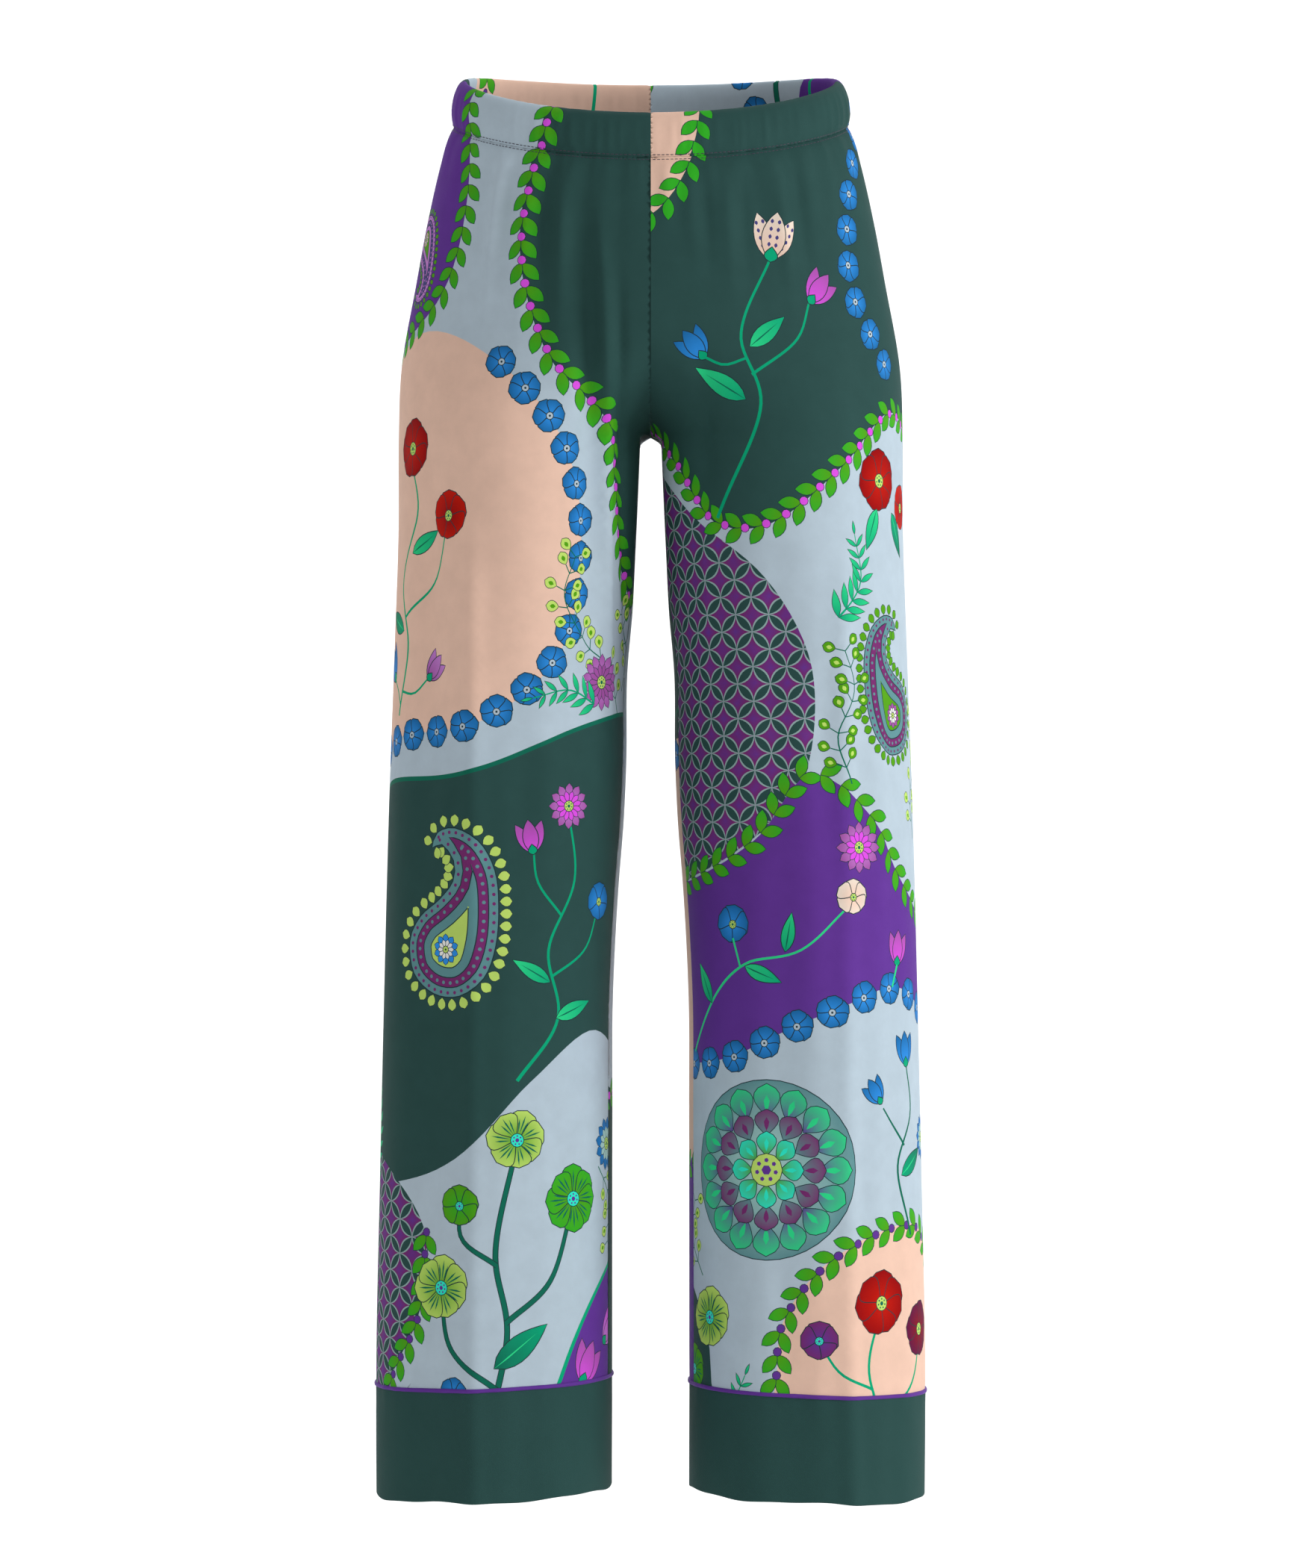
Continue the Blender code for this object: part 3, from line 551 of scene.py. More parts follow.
class Cloth:
    """Printed shapes in painter's order, in mm: x to the right seen from outside, v down."""

    def __init__(self, ground):
        self.shapes, self.clip = [], None
        self.paint([(-240, -100), (240, -100), (240, 1110), (-240, 1110)], ground)
        self.fields = self.shapes[:]

    def paint(self, points, colour, to=None, at=(0, 0), reach=1):
        """One shape in one ink, or in two that blend with the distance from a place."""
        self.shapes.append((np.asarray(points, float), colour, to or colour, at, reach, self.clip))

    def inked(self, points, colour, to=None, at=(0, 0), reach=1, line=0.7):
        """A shape with a thin dark outline."""
        self.paint(points, "ink")
        self.paint(inset(points, line), colour, to, at, reach)

    def petal(self, at, angle, shape, colour, to=None, reach=1, line=0.7):
        """A petal or leaf with a thin dark outline."""
        self.inked(turned(bud(*shape), at, angle), colour, to, at, reach, line)

    def mark(self, at, angle, shape, colour):
        self.paint(turned(bud(*shape), at, angle), colour)

    def field(self, points, colour):
        """A large area of one ink, which also shows on the wrong side."""
        outline = curve(points, 9, closed=True)
        self.paint(outline, colour)
        self.fields.append(self.shapes[-1])
        return outline

    def ribbon(self, points, width, end=None, colour="mint", ink=None, step=5):
        """A stem or border, tapering to its end's width."""
        spots, heading = even(points, step)
        a = np.radians(heading)
        across = np.column_stack((np.cos(a), np.sin(a)))
        half = np.linspace(width, end or width, len(spots))[:, None] / 2
        for wider, tint in ((0.55, ink), (0, colour)):
            if tint:
                edge = across * (half + wider)
                self.paint(np.vstack((spots + edge, (spots - edge)[::-1])), tint)

    def leaf(self, at, length, width, angle, inks):
        colour, to, vein = inks
        self.petal(at, angle, (length, width, 0.42, 0.9), colour, to, length)
        self.mark(at, angle, (length * 0.8, 1.1, 0.3, 0.7, 4), vein)

    def heart(self, at, radius, colour, dots):
        self.inked(circle(radius, 12) + at, colour, line=0.6)
        for k in range(7 if radius > 3 else 0):
            self.paint(circle(radius * 0.14, 5) + away(at, k * 360 / 7, radius * 0.58), dots)
        self.paint(circle(radius * 0.3, 6) + at, dots)

    def blossom(self, at, size, petals, angle, colour, to, heart=GOLD_HEART, streak=None, fat=1):
        """A flower of broad, slightly unequal petals, which may bear three streaks each."""
        width = 2 * size * math.sin(math.pi / petals) * 1.02 * fat
        for k in range(petals):
            a = angle + 360 * k / petals + 4 * math.sin(3 * k)
            long = size * (0.94 + 0.06 * math.cos(5 * k))
            shape = (long, width, 0.7, 0.6, 10 if size > 15 else 8)
            self.petal(at, a, shape, colour, to, size)
            for lean in (-13, 0, 13) if streak else ():
                shape = (size * (0.5 if lean else 0.62), size * 0.055, 0.6, 1, 4)
                self.mark(away(at, a + lean, size * 0.2), a + lean, shape, streak)
        self.heart(at, size * 0.23, *heart)

    def daisy(self, at, size, petals, colour, to, inner, angle=0, heart=GOLD_HEART):
        """Two rings of narrow petals."""
        for length, turn_by, tint, tip in (
            (size, 0, colour, to), (size * 0.66, 180 / petals, inner, inner),
        ):
            for k in range(petals):
                shape = (length, 5 * length / petals, 0.68, 0.7, 7)
                self.petal(at, angle + turn_by + 360 * k / petals, shape, tint, tip, length, 0.5)
        self.heart(at, size * 0.25, *heart)

    def tulip(self, at, size, angle, colour, to, dash=None):
        """Three petals in a cup, which may bear rows of dashes."""
        for lean, wide in ((-24, 0.42), (24, 0.42), (0, 0.5)):
            a = angle + lean
            self.petal(at, a, (size, size * wide, 0.45, 0.75), colour, to, size)
            for row in range(1, 5) if dash else ():
                spot = away(at, a, size * (0.16 * row + 0.1))
                shape = (size * 0.1, size * 0.07, 0.5, 0.8, 4)
                for by in (-size * 0.07, size * 0.07):
                    self.mark(away(spot, a + 90, by), a, shape, dash)
        self.petal(away(at, angle, -size * 0.06), angle, (size * 0.34, size * 0.3, 0.4), "mint")

    def frond(self, points, length, colour, to):
        """A stem with pairs of narrow leaves that shorten to its tip."""
        spots, heading = even(points, 9)
        self.ribbon(points, 1.6, 0.8, colour)
        last = len(spots) - 1
        for i, (spot, head) in enumerate(zip(spots, heading)):
            size = length * (1 - 0.55 * i / len(spots))
            for lean in (-48, 48) if i < last else (0,):
                self.petal(spot, head + lean, (size, size * 0.3, 0.45), colour, to, size, 0.45)

    def sprig(self, points, step=12, radius=4.4, colour="chartreuse", dot="lime"):
        """A stem with pairs of stalked round leaves."""
        self.ribbon(points, 1.1, 0.7, "leaf_dark")
        spots, heading = even(points, step)
        for i, (spot, head) in enumerate(zip(spots[1:], heading[1:])):
            for side in (-1, 1):
                a = head + side * (50 + 9 * (i % 3))
                tip = away(spot, a, radius * 1.5)
                self.ribbon((spot, tip), 0.8, None, "leaf_dark", step=4)
                round_leaf = (radius * 2.3, radius * 1.9, 0.55, 0.6, 7)
                self.petal(tip, a, round_leaf, colour, line=0.5)
                self.mark(away(tip, a, radius * 0.6), a, (radius, radius * 0.7, 0.5, 0.8, 4), dot)

    def garland(self, points, step, size, berry=None, colour="lime"):
        """Pairs of leaves along a line, which may have berries between them."""
        for spot, head in zip(*even(points, step)):
            for lean in (-38, 38):
                shape = (size, size * 0.55, 0.5, 0.75, 7)
                self.petal(spot, head + lean, shape, colour, "grass", size, 0.55)
            if berry:
                self.inked(circle(size * 0.2, 9) + away(spot, head, -size * 0.12), berry, line=0.5)

    def string(self, points, step=27, size=12.5):
        """A row of small round flowers of six petals."""
        for spot, head in zip(*even(points, step)):
            self.blossom(spot, size * 1.04, 6, head, "sky", "blue", ("pale_blue", "ink"), fat=0.95)

    def paisley(self, at, length, angle, tints, flip=1):
        """A bent drop in nested bands, beaded round its rim, with a daisy in it."""
        rim = curve(PAISLEY * (flip * length, length), length * 0.05, closed=True)
        spots, head = even(np.vstack((rim, rim[:1])), length * 0.075)
        for spot, way in zip(turned(spots[:-1], at, angle), head[:-1]):
            bead = (length * 0.085, length * 0.07, 0.55, 0.6, 6)
            self.petal(spot, 180 - way + angle + flip * 90, bead, tints[3], line=0.5)
        for band, tint in enumerate(tints[:4]):
            inner = shrink(rim, length * 0.062 * band) if band else rim
            if len(inner) < 6:
                break
            self.inked(turned(inner, at, angle), tint, line=0.8)
            spots, _ = even(np.vstack((inner, inner[:1])), length * 0.06)
            middle = shrink(spots[:-1], length * 0.032)
            for spot in turned(middle, at, angle) if band < 2 else ():
                self.paint(circle(length * 0.012, 6) + spot, tints[1 - band])
        self.daisy(at, length * 0.1, 10, tints[4], None, tints[5], heart=("chartreuse", "ink"))

    def medallion(self, at, radius, rings):
        """Rings of petals, each from an inner to an outer share of the radius."""
        for count, inner, outer, colour, to in rings:
            width = 2 * math.pi * radius * (inner + outer) / 2 / count * 1.05
            length = radius * (outer - inner)
            for k in range(count):
                a = 360 * (k + 0.5 * (count % 4 // 2)) / count
                base = away(at, a, radius * inner)
                streak = (length * 0.5, width * 0.22, 0.6, 0.8, 4)
                self.petal(base, a, (length, width, 0.6, 0.7, 8), colour, to, length, 0.6)
                self.mark(away(base, a, radius * 0.06), a, streak, to)
        self.heart(at, radius * 0.2, "chartreuse", "violet")

    def lattice(self, outline, pitch=25):
        """Overlapping circles on a diagonal net, cut off at the outline."""
        self.clip = outline
        low, high = outline.min(0) - pitch, outline.max(0) + pitch
        length = pitch * math.sqrt(0.5)
        for j in range(int((high[1] - low[1]) / pitch * 2) + 1):
            for i in range(int((high[0] - low[0]) / pitch) + 1):
                node = low + pitch * np.array((i + 0.5 * (j % 2), 0.5 * j))
                if not holds(outline, node + circle(pitch, 8)).any():
                    continue
                middle = node + (0, pitch / 2)
                self.paint(circle(pitch * 0.27, 4) + middle, "violet", "plum", middle, pitch * 0.3)
                for angle in (135, 225):
                    self.mark(node, angle, (length, length * 0.46, 0.5, 0.8, 8), "pale_line")
                    inner = (length * 0.94, length * 0.32, 0.5, 0.85, 7)
                    self.mark(away(node, angle, length * 0.03), angle, inner, "dark_green")
        self.clip = None


class Surface:
    """A printed surface, looked up by its flat cut: h to the right and v down, both in mm."""

    def measure(self, side, face, downs, sections, heights, falls, up=1):
        """Keeps a panel's part of the grid of points, and the scales of its levels."""
        self.side, self.face, self.downs = side, face, downs
        points, scales = [], []
        for section, out, fall in zip(sections, heights, falls):
            level = section.points(section.places(), out)
            level[:, 2] -= fall
            points.append(level)
            low, high, line_x, line_at = section.panel(face)
            scales.append((low, high, np.interp(smooth(GRAIN, "x", section.down), line_x, line_at)))
        points = np.array(points)
        self.low, self.high, self.grain = np.array(scales).T
        closed = np.array([section.closed for section in sections])
        across = np.gradient(points, axis=1)
        across[closed, 0] = across[closed, -1] = points[closed, 1] - points[closed, -2]
        normals = -side * up * np.cross(across, np.gradient(points, downs, axis=0))
        hook = FRONT_HOOK if face == FRONT else BACK_HOOK
        joined = np.array([section.down < CROTCH_DOWN - hook for section in sections])
        normals[joined, 0, 0] = normals[joined, -1, 0] = 0
        part = slice(0, COLUMNS + 1) if face == FRONT else slice(COLUMNS, None)
        self.points, self.normals = points[:, part], unit(normals)[:, part]

    def scales(self, down):
        return (np.interp(down, self.downs, line) for line in (self.low, self.high, self.grain))

    def place(self, share, down):
        """Points and normals at shares from 0 to 1 across, and heights in metres."""
        last = len(self.downs) - 1
        r = np.clip(np.interp(down, self.downs, np.arange(last + 1)), 0, last - 0.001)
        c = np.clip(share, 0, 1) * (COLUMNS - 0.001)
        i, j = r.astype(int), c.astype(int)
        u, w = (r - i)[:, None], (c - j)[:, None]
        found = []
        for grid in (self.points, self.normals):
            top = grid[i, j] * (1 - w) + grid[i, j + 1] * w
            foot = grid[i + 1, j] * (1 - w) + grid[i + 1, j + 1] * w
            found.append(top * (1 - u) + foot * u)
        return found

    def share(self, h, down):
        low, high, grain = self.scales(down)
        return (grain + self.side * h * MM - low) / (high - low)

    def across(self, share, down):
        """Flat places across the print, in mm, of shares and heights."""
        low, high, grain = self.scales(down)
        return self.side * (low + share * (high - low) - grain) / MM

    def sunk(self, share, down, end):
        """Points and normals, sunk a little along the seams. end is the distance to the nearest end seam."""
        points, normals = self.place(share, down)
        low, high, _ = self.scales(down)
        near = np.minimum(end, np.minimum(share, 1 - share) * (high - low))
        normals = unit(normals)
        inward = -normals * SEAM_SINK * bell(near, SEAM_HALF)[:, None]
        middle = (share if self.face == FRONT else 1 - share) * (high - low)
        inward[:, 0] *= 1 - (points[:, 2] > -CROTCH_DOWN - MM) * bell(middle, CENTRE_HALF)
        return points + inward, normals

    def edge(self, levels, low, high):
        """The cut once round: down one side, along one end, back, and along the other."""
        width = np.linspace(0, 1, 60)[1:-1]
        turn = ((0 * levels, levels), (width, 0 * width + high),
                (0 * levels + 1, levels[::-1]), (width[::-1], 0 * width + low))
        return np.vstack([self.flat(share, level) for share, level in turn])


def band_ripple(side):
    """How far the gathers below the casing move its foot, on one side's columns."""
    below = Section(BAND_DOWN + 20 * MM, side)
    return BAND_RIPPLE * below.fold_height(below.places())


class Panel(Surface):
    """The outer surface of one leg panel."""

    def __init__(self, side, face):
        self.seam = SEAM_DOWN[side]
        # The levels lie close together under the casing and round the crotch
        downs = np.concatenate((
            BAND_DOWN + MM * np.array((0, 0.5, 1, 1.5, 2, 2.6, 3.3, 4.2)), np.linspace(0.039, 0.2625, 96),
            CROTCH_DOWN + MM * np.array((-1.5, -0.8, -0.3, 0, 0.3, 0.8, 1.6, 2.6, 3.8, 5.2, 7, 9, 11.5)),
            np.linspace(0.279, 0.45, 58), np.linspace(0.454, self.seam, 130),
        ))
        sections = [Section(down, side) for down in downs]
        ripple = band_ripple(side)
        heights = []
        for section in sections:
            at = section.places()
            below = section.down - BAND_DOWN
            joint = ripple * bell(below, RIPPLE_REACH) + NOTCH * bell(below, NOTCH_HALF)
            heights.append(section.fold_height(at) + section.small_folds(at) + joint)
        self.measure(side, face, downs, sections, heights, 0 * downs)

    def find(self, flat):
        """World points and normals of flat places."""
        h, v = flat[:, 0], flat[:, 1] * MM
        down = np.clip(v, BAND_DOWN, self.seam)
        for _ in range(6):
            points, _ = self.place(self.share(h, down), down)
            down = np.clip(down + v + points[:, 2], BAND_DOWN, self.seam)
        return self.sunk(self.share(h, down), down, self.seam - down)

    def flat(self, share, down):
        """Flat places of shares and heights."""
        points, _ = self.place(share, down)
        return np.column_stack((self.across(share, down), -points[:, 2] / MM))

    def outline(self):
        downs = np.concatenate((
            np.arange(BAND_DOWN, 0.225, 4 * MM), np.arange(0.226, 0.264, 1.5 * MM),
            CROTCH_DOWN + MM * np.array((-0.6, 0, 0.6, 1.6, 3, 5, 8)), np.linspace(0.277, self.seam, 170),
        ))
        return self.edge(downs, BAND_DOWN, self.seam)


class Casing(Surface):
    """A quarter of the waist casing. Its levels are distances in mm: up its outside, over, down inside."""

    def __init__(self, side, face):
        line = curve(np.column_stack((BAND_PROFILE["down"], BAND_PROFILE["out"])), 0.7)
        along = lengths(*line.T)
        self.end = along[-1]
        arcs = np.linspace(0, self.end, 120)
        fall, out = (np.interp(arcs, along, values) * MM for values in line.T)
        top, foot = Section(0, side), Section(BAND_DOWN, side)
        joint, ripple = foot.small_folds(foot.places()), band_ripple(side)
        share = np.linspace(0, 1, COLUMNS + 1)
        flat = ease(share / 0.04) * ease((1 - share) / 0.04)
        count, tall, half = CASING_PUCKERS
        front, back = (
            tall * MM * flat * puckers(share, count, 5 * side + one, half) for one in (FRONT, BACK)
        )
        fine = np.concatenate((front, back[1:]))
        heights = []
        for down, by, arc in zip(fall, out, arcs):
            swell = float(ease(down / PUCKERS_TOP) * ease((BAND_DOWN - down) / PUCKERS_FOOT))
            rise = ease(down / BAND_DOWN) * ripple + swell * fine
            rise += bell(down - BAND_DOWN, JOINT_REACH) * joint
            heights.append(by + (rise if arc < self.end * 0.5 else INSIDE_SHARE * rise))
        self.measure(side, face, arcs, [top] * len(arcs), heights, fall, -1)
        foot_h = self.across(share, 0 * share)
        order = np.argsort(foot_h)
        self.foot_h, self.foot_v = foot_h[order], (-self.points[0, :, 2] / MM)[order]

    def foot(self, h):
        """The print's height at the foot of the casing, which dips to the front."""
        return np.interp(h, self.foot_h, self.foot_v)

    def find(self, flat):
        """World points and normals of flat places."""
        up = np.clip(self.foot(flat[:, 0]) - flat[:, 1], 0, self.end)
        return self.sunk(self.share(flat[:, 0], up), up, 1)

    def flat(self, share, up):
        """Flat places of shares and levels."""
        h = self.across(share, up)
        return np.column_stack((h, self.foot(h) - up))

    def outline(self):
        return self.edge(np.linspace(0, self.end, 40), 0, self.end)


def left_layout():
    """The print of the viewer's left front panel."""
    c = Cloth("pale_blue")

    # Large fields
    c.field([(-240, -100), (-62, -100), (-46, 20), (-38, 96), (-64, 170), (-150, 208), (-240, 214)], "violet")
    c.field([
        (60, -100), (240, -100), (240, 420), (150, 400), (104, 340), (84, 262), (36, 214), (12, 132),
        (26, 30),
    ], "dark_green")
    c.field([
        (-240, 226), (-150, 216), (-70, 190), (-6, 214), (44, 268), (66, 340), (52, 420), (-6, 474),
        (-92, 486), (-160, 512), (-240, 520),
    ], "peach")
    c.field([
        (-240, 560), (-120, 520), (-20, 512), (74, 478), (150, 470), (240, 500), (240, 700), (150, 716),
        (84, 700), (30, 736), (-26, 792), (-96, 812), (-160, 800), (-240, 830),
    ], "dark_green")
    c.lattice(c.field([
        (-240, 820), (-150, 790), (-86, 806), (-52, 850), (-60, 910), (-96, 972), (-130, 1080), (-240, 1080),
    ], "plum"))
    c.field([(30, 1090), (44, 980), (82, 902), (140, 862), (240, 850), (240, 1090)], "violet")

    # Borders of the fields
    c.garland([(-58, -88), (-45, 22), (-38, 96), (-64, 168), (-150, 207), (-230, 214)], 15.5, 17)
    c.garland([
        (30, 26), (13, 132), (37, 213), (85, 262), (105, 340), (151, 400), (226, 418),
    ], 17, 18, "magenta")
    c.string([(-178, 512), (-92, 487), (-8, 474), (52, 420), (66, 342), (46, 270), (0, 216)])
    c.ribbon([
        (-230, 562), (-120, 521), (-20, 512), (74, 478), (150, 470), (226, 498),
    ], 3.4, 3, "leaf_dark")
    c.garland([(-52, 848), (-60, 910), (-96, 972), (-124, 1060)], 16, 17, "violet")
    c.ribbon([(31, 1080), (44, 980), (82, 902), (140, 862), (226, 850)], 3.2)

    # Large paisley in the green field, and a smaller one on the pale ground above
    c.paisley((-34, 640), 116, 20, ("slate", "plum", "slate", "chartreuse", "sky", "white"), -1)
    c.paisley((-96, 120), 62, 160, ("lavender", "indigo", "lavender", "lime", "peach", "white"))

    # A flowering branch beside the large paisley
    c.ribbon([(20, 735), (52, 690), (44, 640), (66, 590), (60, 540)], 2.6, 1.6)
    c.ribbon([(46, 660), (78, 640), (92, 612)], 2, 1.4)
    c.ribbon([(55, 616), (36, 592), (32, 566)], 2, 1.4)
    c.leaf((50, 690), 36, 13, 70, SPRING_LEAF)
    c.leaf((46, 664), 34, 12, -60, MINT_LEAF)
    c.daisy((60, 536), 17, 12, "lavender", "orchid", "magenta")
    c.blossom((94, 606), 15, 5, 0, "sky", "blue")
    c.tulip((32, 570), 25, -10, "magenta", "orchid")

    # Flowers on the peach field
    c.ribbon([(-96, 470), (-84, 420), (-98, 372), (-78, 322), (-86, 286)], 2.4, 1.6)
    c.ribbon([(-90, 398), (-56, 372), (-40, 328)], 2.2, 1.4)
    c.ribbon([(-94, 462), (-100, 452), (-111, 443)], 2, 1.4)
    c.ribbon([(-92, 452), (-74, 454), (-61, 444)], 2, 1.4)
    c.leaf((-92, 408), 40, 15, -70, DEEP_LEAF)
    c.leaf((-84, 352), 34, 13, 62, SPRING_LEAF)
    c.blossom((-86, 276), 23, 7, 12, "red", "crimson")
    c.blossom((-40, 326), 19, 6, 0, "crimson", "red")
    c.tulip((-110, 444), 30, -38, "sky", "blue")
    c.tulip((-60, 444), 24, 42, "orchid", "lavender")

    # Meadow sprigs between the peach and the upper green
    c.sprig([(118, 470), (104, 438), (74, 418), (52, 386), (60, 356)], 13, 4.6)
    c.sprig([(128, 452), (140, 424), (122, 396)])
    c.daisy((92, 446), 21, 14, "lavender", "orchid", "orchid")
    c.frond([(84, 462), (58, 452), (30, 458)], 19, "mint", "spring")
    c.frond([(-140, 812), (-124, 778), (-128, 742)], 20, "spring", "mint")

    # Bottom: lime flowers on long stems over pale ground
    for points, width, end in (
        ([(2, 1080), (0, 990), (12, 918), (4, 858), (20, 780)], 4.2, 2.8),
        ([(5, 960), (-30, 930), (-38, 888)], 3.4, 2.4),
        ([(11, 911), (46, 880), (66, 824)], 3.4, 2.4),
        ([(5, 869), (-20, 850), (-22, 828)], 3, 2.2),
    ):
        c.ribbon(points, width, end, "leaf_dark", "ink")
    c.leaf((2, 944), 52, 19, 52, DARK_LEAF)
    c.leaf((0, 990), 46, 17, -58, DARK_LEAF)
    c.blossom((-38, 886), 25, 7, 8, "lime", "chartreuse", LIME_HEART, "leaf_dark")
    c.blossom((66, 822), 26, 8, 0, "lime", "grass", LIME_HEART, "leaf_dark")
    c.blossom((20, 778), 23, 7, 20, "lime", "chartreuse", LIME_HEART, "leaf_dark")
    c.blossom((-22, 826), 16, 6, 0, "grass", "lime", LIME_HEART)
    c.tulip((74, 958), 34, 24, "magenta", "orchid")
    c.tulip((104, 930), 28, 48, "lavender", "magenta")
    c.daisy((112, 784), 20, 12, "sky", "blue", "ice", 10)
    c.sprig([(96, 800), (118, 826), (114, 856)])
    c.string([(-8, 1072), (-34, 1004), (-28, 962)], 26, 11.5)
    return c


def right_layout():
    """The print of the viewer's right front panel."""
    c = Cloth("pale_blue")

    # Large fields
    c.field([
        (-240, -100), (-20, -100), (60, -100), (240, -100), (240, 250), (150, 262), (86, 250), (34, 288),
        (-24, 332), (-70, 330), (-110, 286), (-160, 262), (-240, 260),
    ], "dark_green")
    c.field([(-240, -100), (-74, -100), (-66, 10), (-84, 84), (-130, 120), (-240, 128)], "peach")
    c.lattice(c.field([
        (-240, 300), (-150, 290), (-84, 330), (-30, 372), (2, 436), (-4, 512), (-44, 560), (-110, 588),
        (-240, 600),
    ], "plum"))
    c.field([
        (-240, 604), (-110, 590), (-44, 562), (-2, 514), (44, 540), (90, 596), (150, 622), (240, 628),
        (240, 690), (140, 690), (70, 668), (0, 690), (-70, 720), (-150, 724), (-240, 716),
    ], "violet")
    c.field([
        (240, 880), (150, 872), (92, 842), (24, 858), (-20, 908), (-28, 966), (-60, 1090), (240, 1090),
    ], "peach")
    c.field([(-240, 900), (-150, 880), (-104, 900), (-84, 950), (-92, 1090), (-240, 1090)], "dark_green")

    # Borders of the fields
    c.garland([
        (230, 250), (150, 262), (86, 251), (34, 288), (-24, 331), (-70, 329), (-110, 286), (-160, 263),
        (-230, 261),
    ], 16, 17.5, "magenta")
    c.garland([(-66, -86), (-66, 10), (-84, 84), (-130, 120), (-228, 128)], 16, 17, None, "grass")
    c.garland([
        (-226, 603), (-110, 589), (-44, 561), (-3, 513), (44, 540), (90, 596), (150, 622), (228, 628),
    ], 16.5, 17.5)
    c.string([(-224, 717), (-150, 725), (-70, 721), (0, 691), (70, 669), (140, 691), (226, 690)])
    c.string([(118, -60), (96, 22), (58, 84), (50, 160), (84, 214)], 28)
    c.garland([
        (228, 880), (150, 873), (92, 843), (24, 859), (-20, 909), (-28, 966), (-54, 1068),
    ], 17, 17.5, "violet")

    # Medallion on the lower pale ground
    middle = (-34, 800)
    c.inked(circle(66, 40) + middle, "ice", "slate", middle, 66)
    c.medallion(middle, 62, (
        (16, 0.62, 1.02, "violet", "spring"),
        (12, 0.40, 0.72, "slate", "plum"),
        (8, 0.16, 0.46, "lime", "aqua"),
    ))

    # Flowers over the upper green and the pale ground beside the lattice
    c.ribbon([(-66, 328), (-30, 250), (-44, 196), (-20, 141)], 2.6, 1.8)
    c.ribbon([(-36, 226), (-2, 200), (10, 171)], 2.2, 1.6)
    c.leaf((-40, 244), 44, 16, -58, MINT_LEAF)
    c.leaf((-38, 206), 36, 14, 50, SPRING_LEAF)
    c.tulip((-20, 142), 36, 10, "peach", "cream", "indigo")
    c.tulip((10, 172), 28, 40, "magenta", "orchid")
    c.tulip((-70, 214), 26, -40, "sky", "blue")
    c.ribbon([(-40, 214), (-56, 219), (-71, 213)], 1.8)
    c.blossom((70, 300), 24, 7, 0, "red", "crimson")
    c.blossom((112, 318), 18, 6, 20, "crimson", "red")
    c.leaf((88, 322), 38, 15, 150, DEEP_LEAF)
    c.leaf((66, 320), 34, 13, 205, SPRING_LEAF)
    c.paisley((80, 470), 96, -24, ("slate", "plum", "slate", "lime", "orchid", "white"))
    c.frond([(22, 400), (44, 374), (40, 340)], 21, "mint", "spring")
    c.sprig([(116, 560), (110, 528), (134, 506), (130, 470)], 13, 4.6)
    c.sprig([(30, 520), (20, 486), (34, 452), (26, 424)], 13, 4.4, "lime", "chartreuse")
    c.daisy((36, 566), 19, 12, "lavender", "orchid", "magenta")

    # Small flowers on the violet field
    c.ribbon([(-112, 716), (-78, 672), (-50, 650), (-8, 640), (28, 606)], 2.2, 1.4, "spring")
    c.leaf((-84, 680), 34, 12, -30, MINT_LEAF)
    c.leaf((-52, 652), 32, 12, 112, SPRING_LEAF)
    c.leaf((-20, 642), 30, 11, 10, MINT_LEAF)
    c.blossom((30, 602), 14, 6, 0, "peach", "cream")
    c.blossom((-62, 622), 15, 5, 10, "sky", "blue")
    c.ribbon([(-56, 652), (-62, 632)], 1.6, None, "spring")
    c.tulip((76, 652), 26, 6, "magenta", "orchid")
    c.ribbon([(70, 668), (76, 652)], 1.8, None, "spring")

    # Pale ground right of the medallion
    c.ribbon([(90, 850), (74, 800), (92, 760), (86, 725)], 2.4, 1.6, "leaf_dark")
    c.ribbon([(82, 784), (58, 756)], 2, 1.4, "leaf_dark")
    c.leaf((78, 806), 38, 14, 60, DEEP_LEAF)
    c.tulip((86, 726), 26, -4, "sky", "blue")
    c.tulip((56, 752), 22, -36, "sky", "blue")
    c.daisy((122, 780), 17, 12, "sky", "blue", "ice", 6)

    # Bottom: poppies over the peach field
    c.ribbon([(56, 1080), (60, 1000), (44, 946), (56, 900)], 3, 2)
    c.ribbon([(57, 986), (92, 956), (104, 922)], 2.6, 1.8)
    c.ribbon([(47, 960), (22, 948), (6, 925)], 2.2, 1.6)
    c.leaf((58, 1006), 48, 18, 64, DEEP_LEAF)
    c.leaf((54, 990), 42, 15, -62, SPRING_LEAF)
    c.blossom((56, 898), 25, 7, 6, "red", "crimson")
    c.blossom((104, 920), 22, 7, 18, "crimson", "wine")
    c.blossom((6, 924), 15, 5, 0, "violet", "plum", LIME_HEART)
    c.blossom((-86, 910), 24, 7, 10, "lime", "chartreuse", LIME_HEART, "leaf_dark")
    c.blossom((-112, 950), 20, 7, 0, "grass", "lime", LIME_HEART, "leaf_dark")
    c.frond([(-60, 1020), (-64, 984), (-50, 950)], 19, "mint", "spring")
    c.sprig([(-96, 880), (-120, 850), (-112, 826)])
    return c


def linear(colour):
    c = np.array(colour, float) / 255
    return np.where(c <= 0.04045, c / 12.92, ((c + 0.055) / 1.055) ** 2.4)


DYES = {name: linear(colour) for name, colour in INKS.items()}


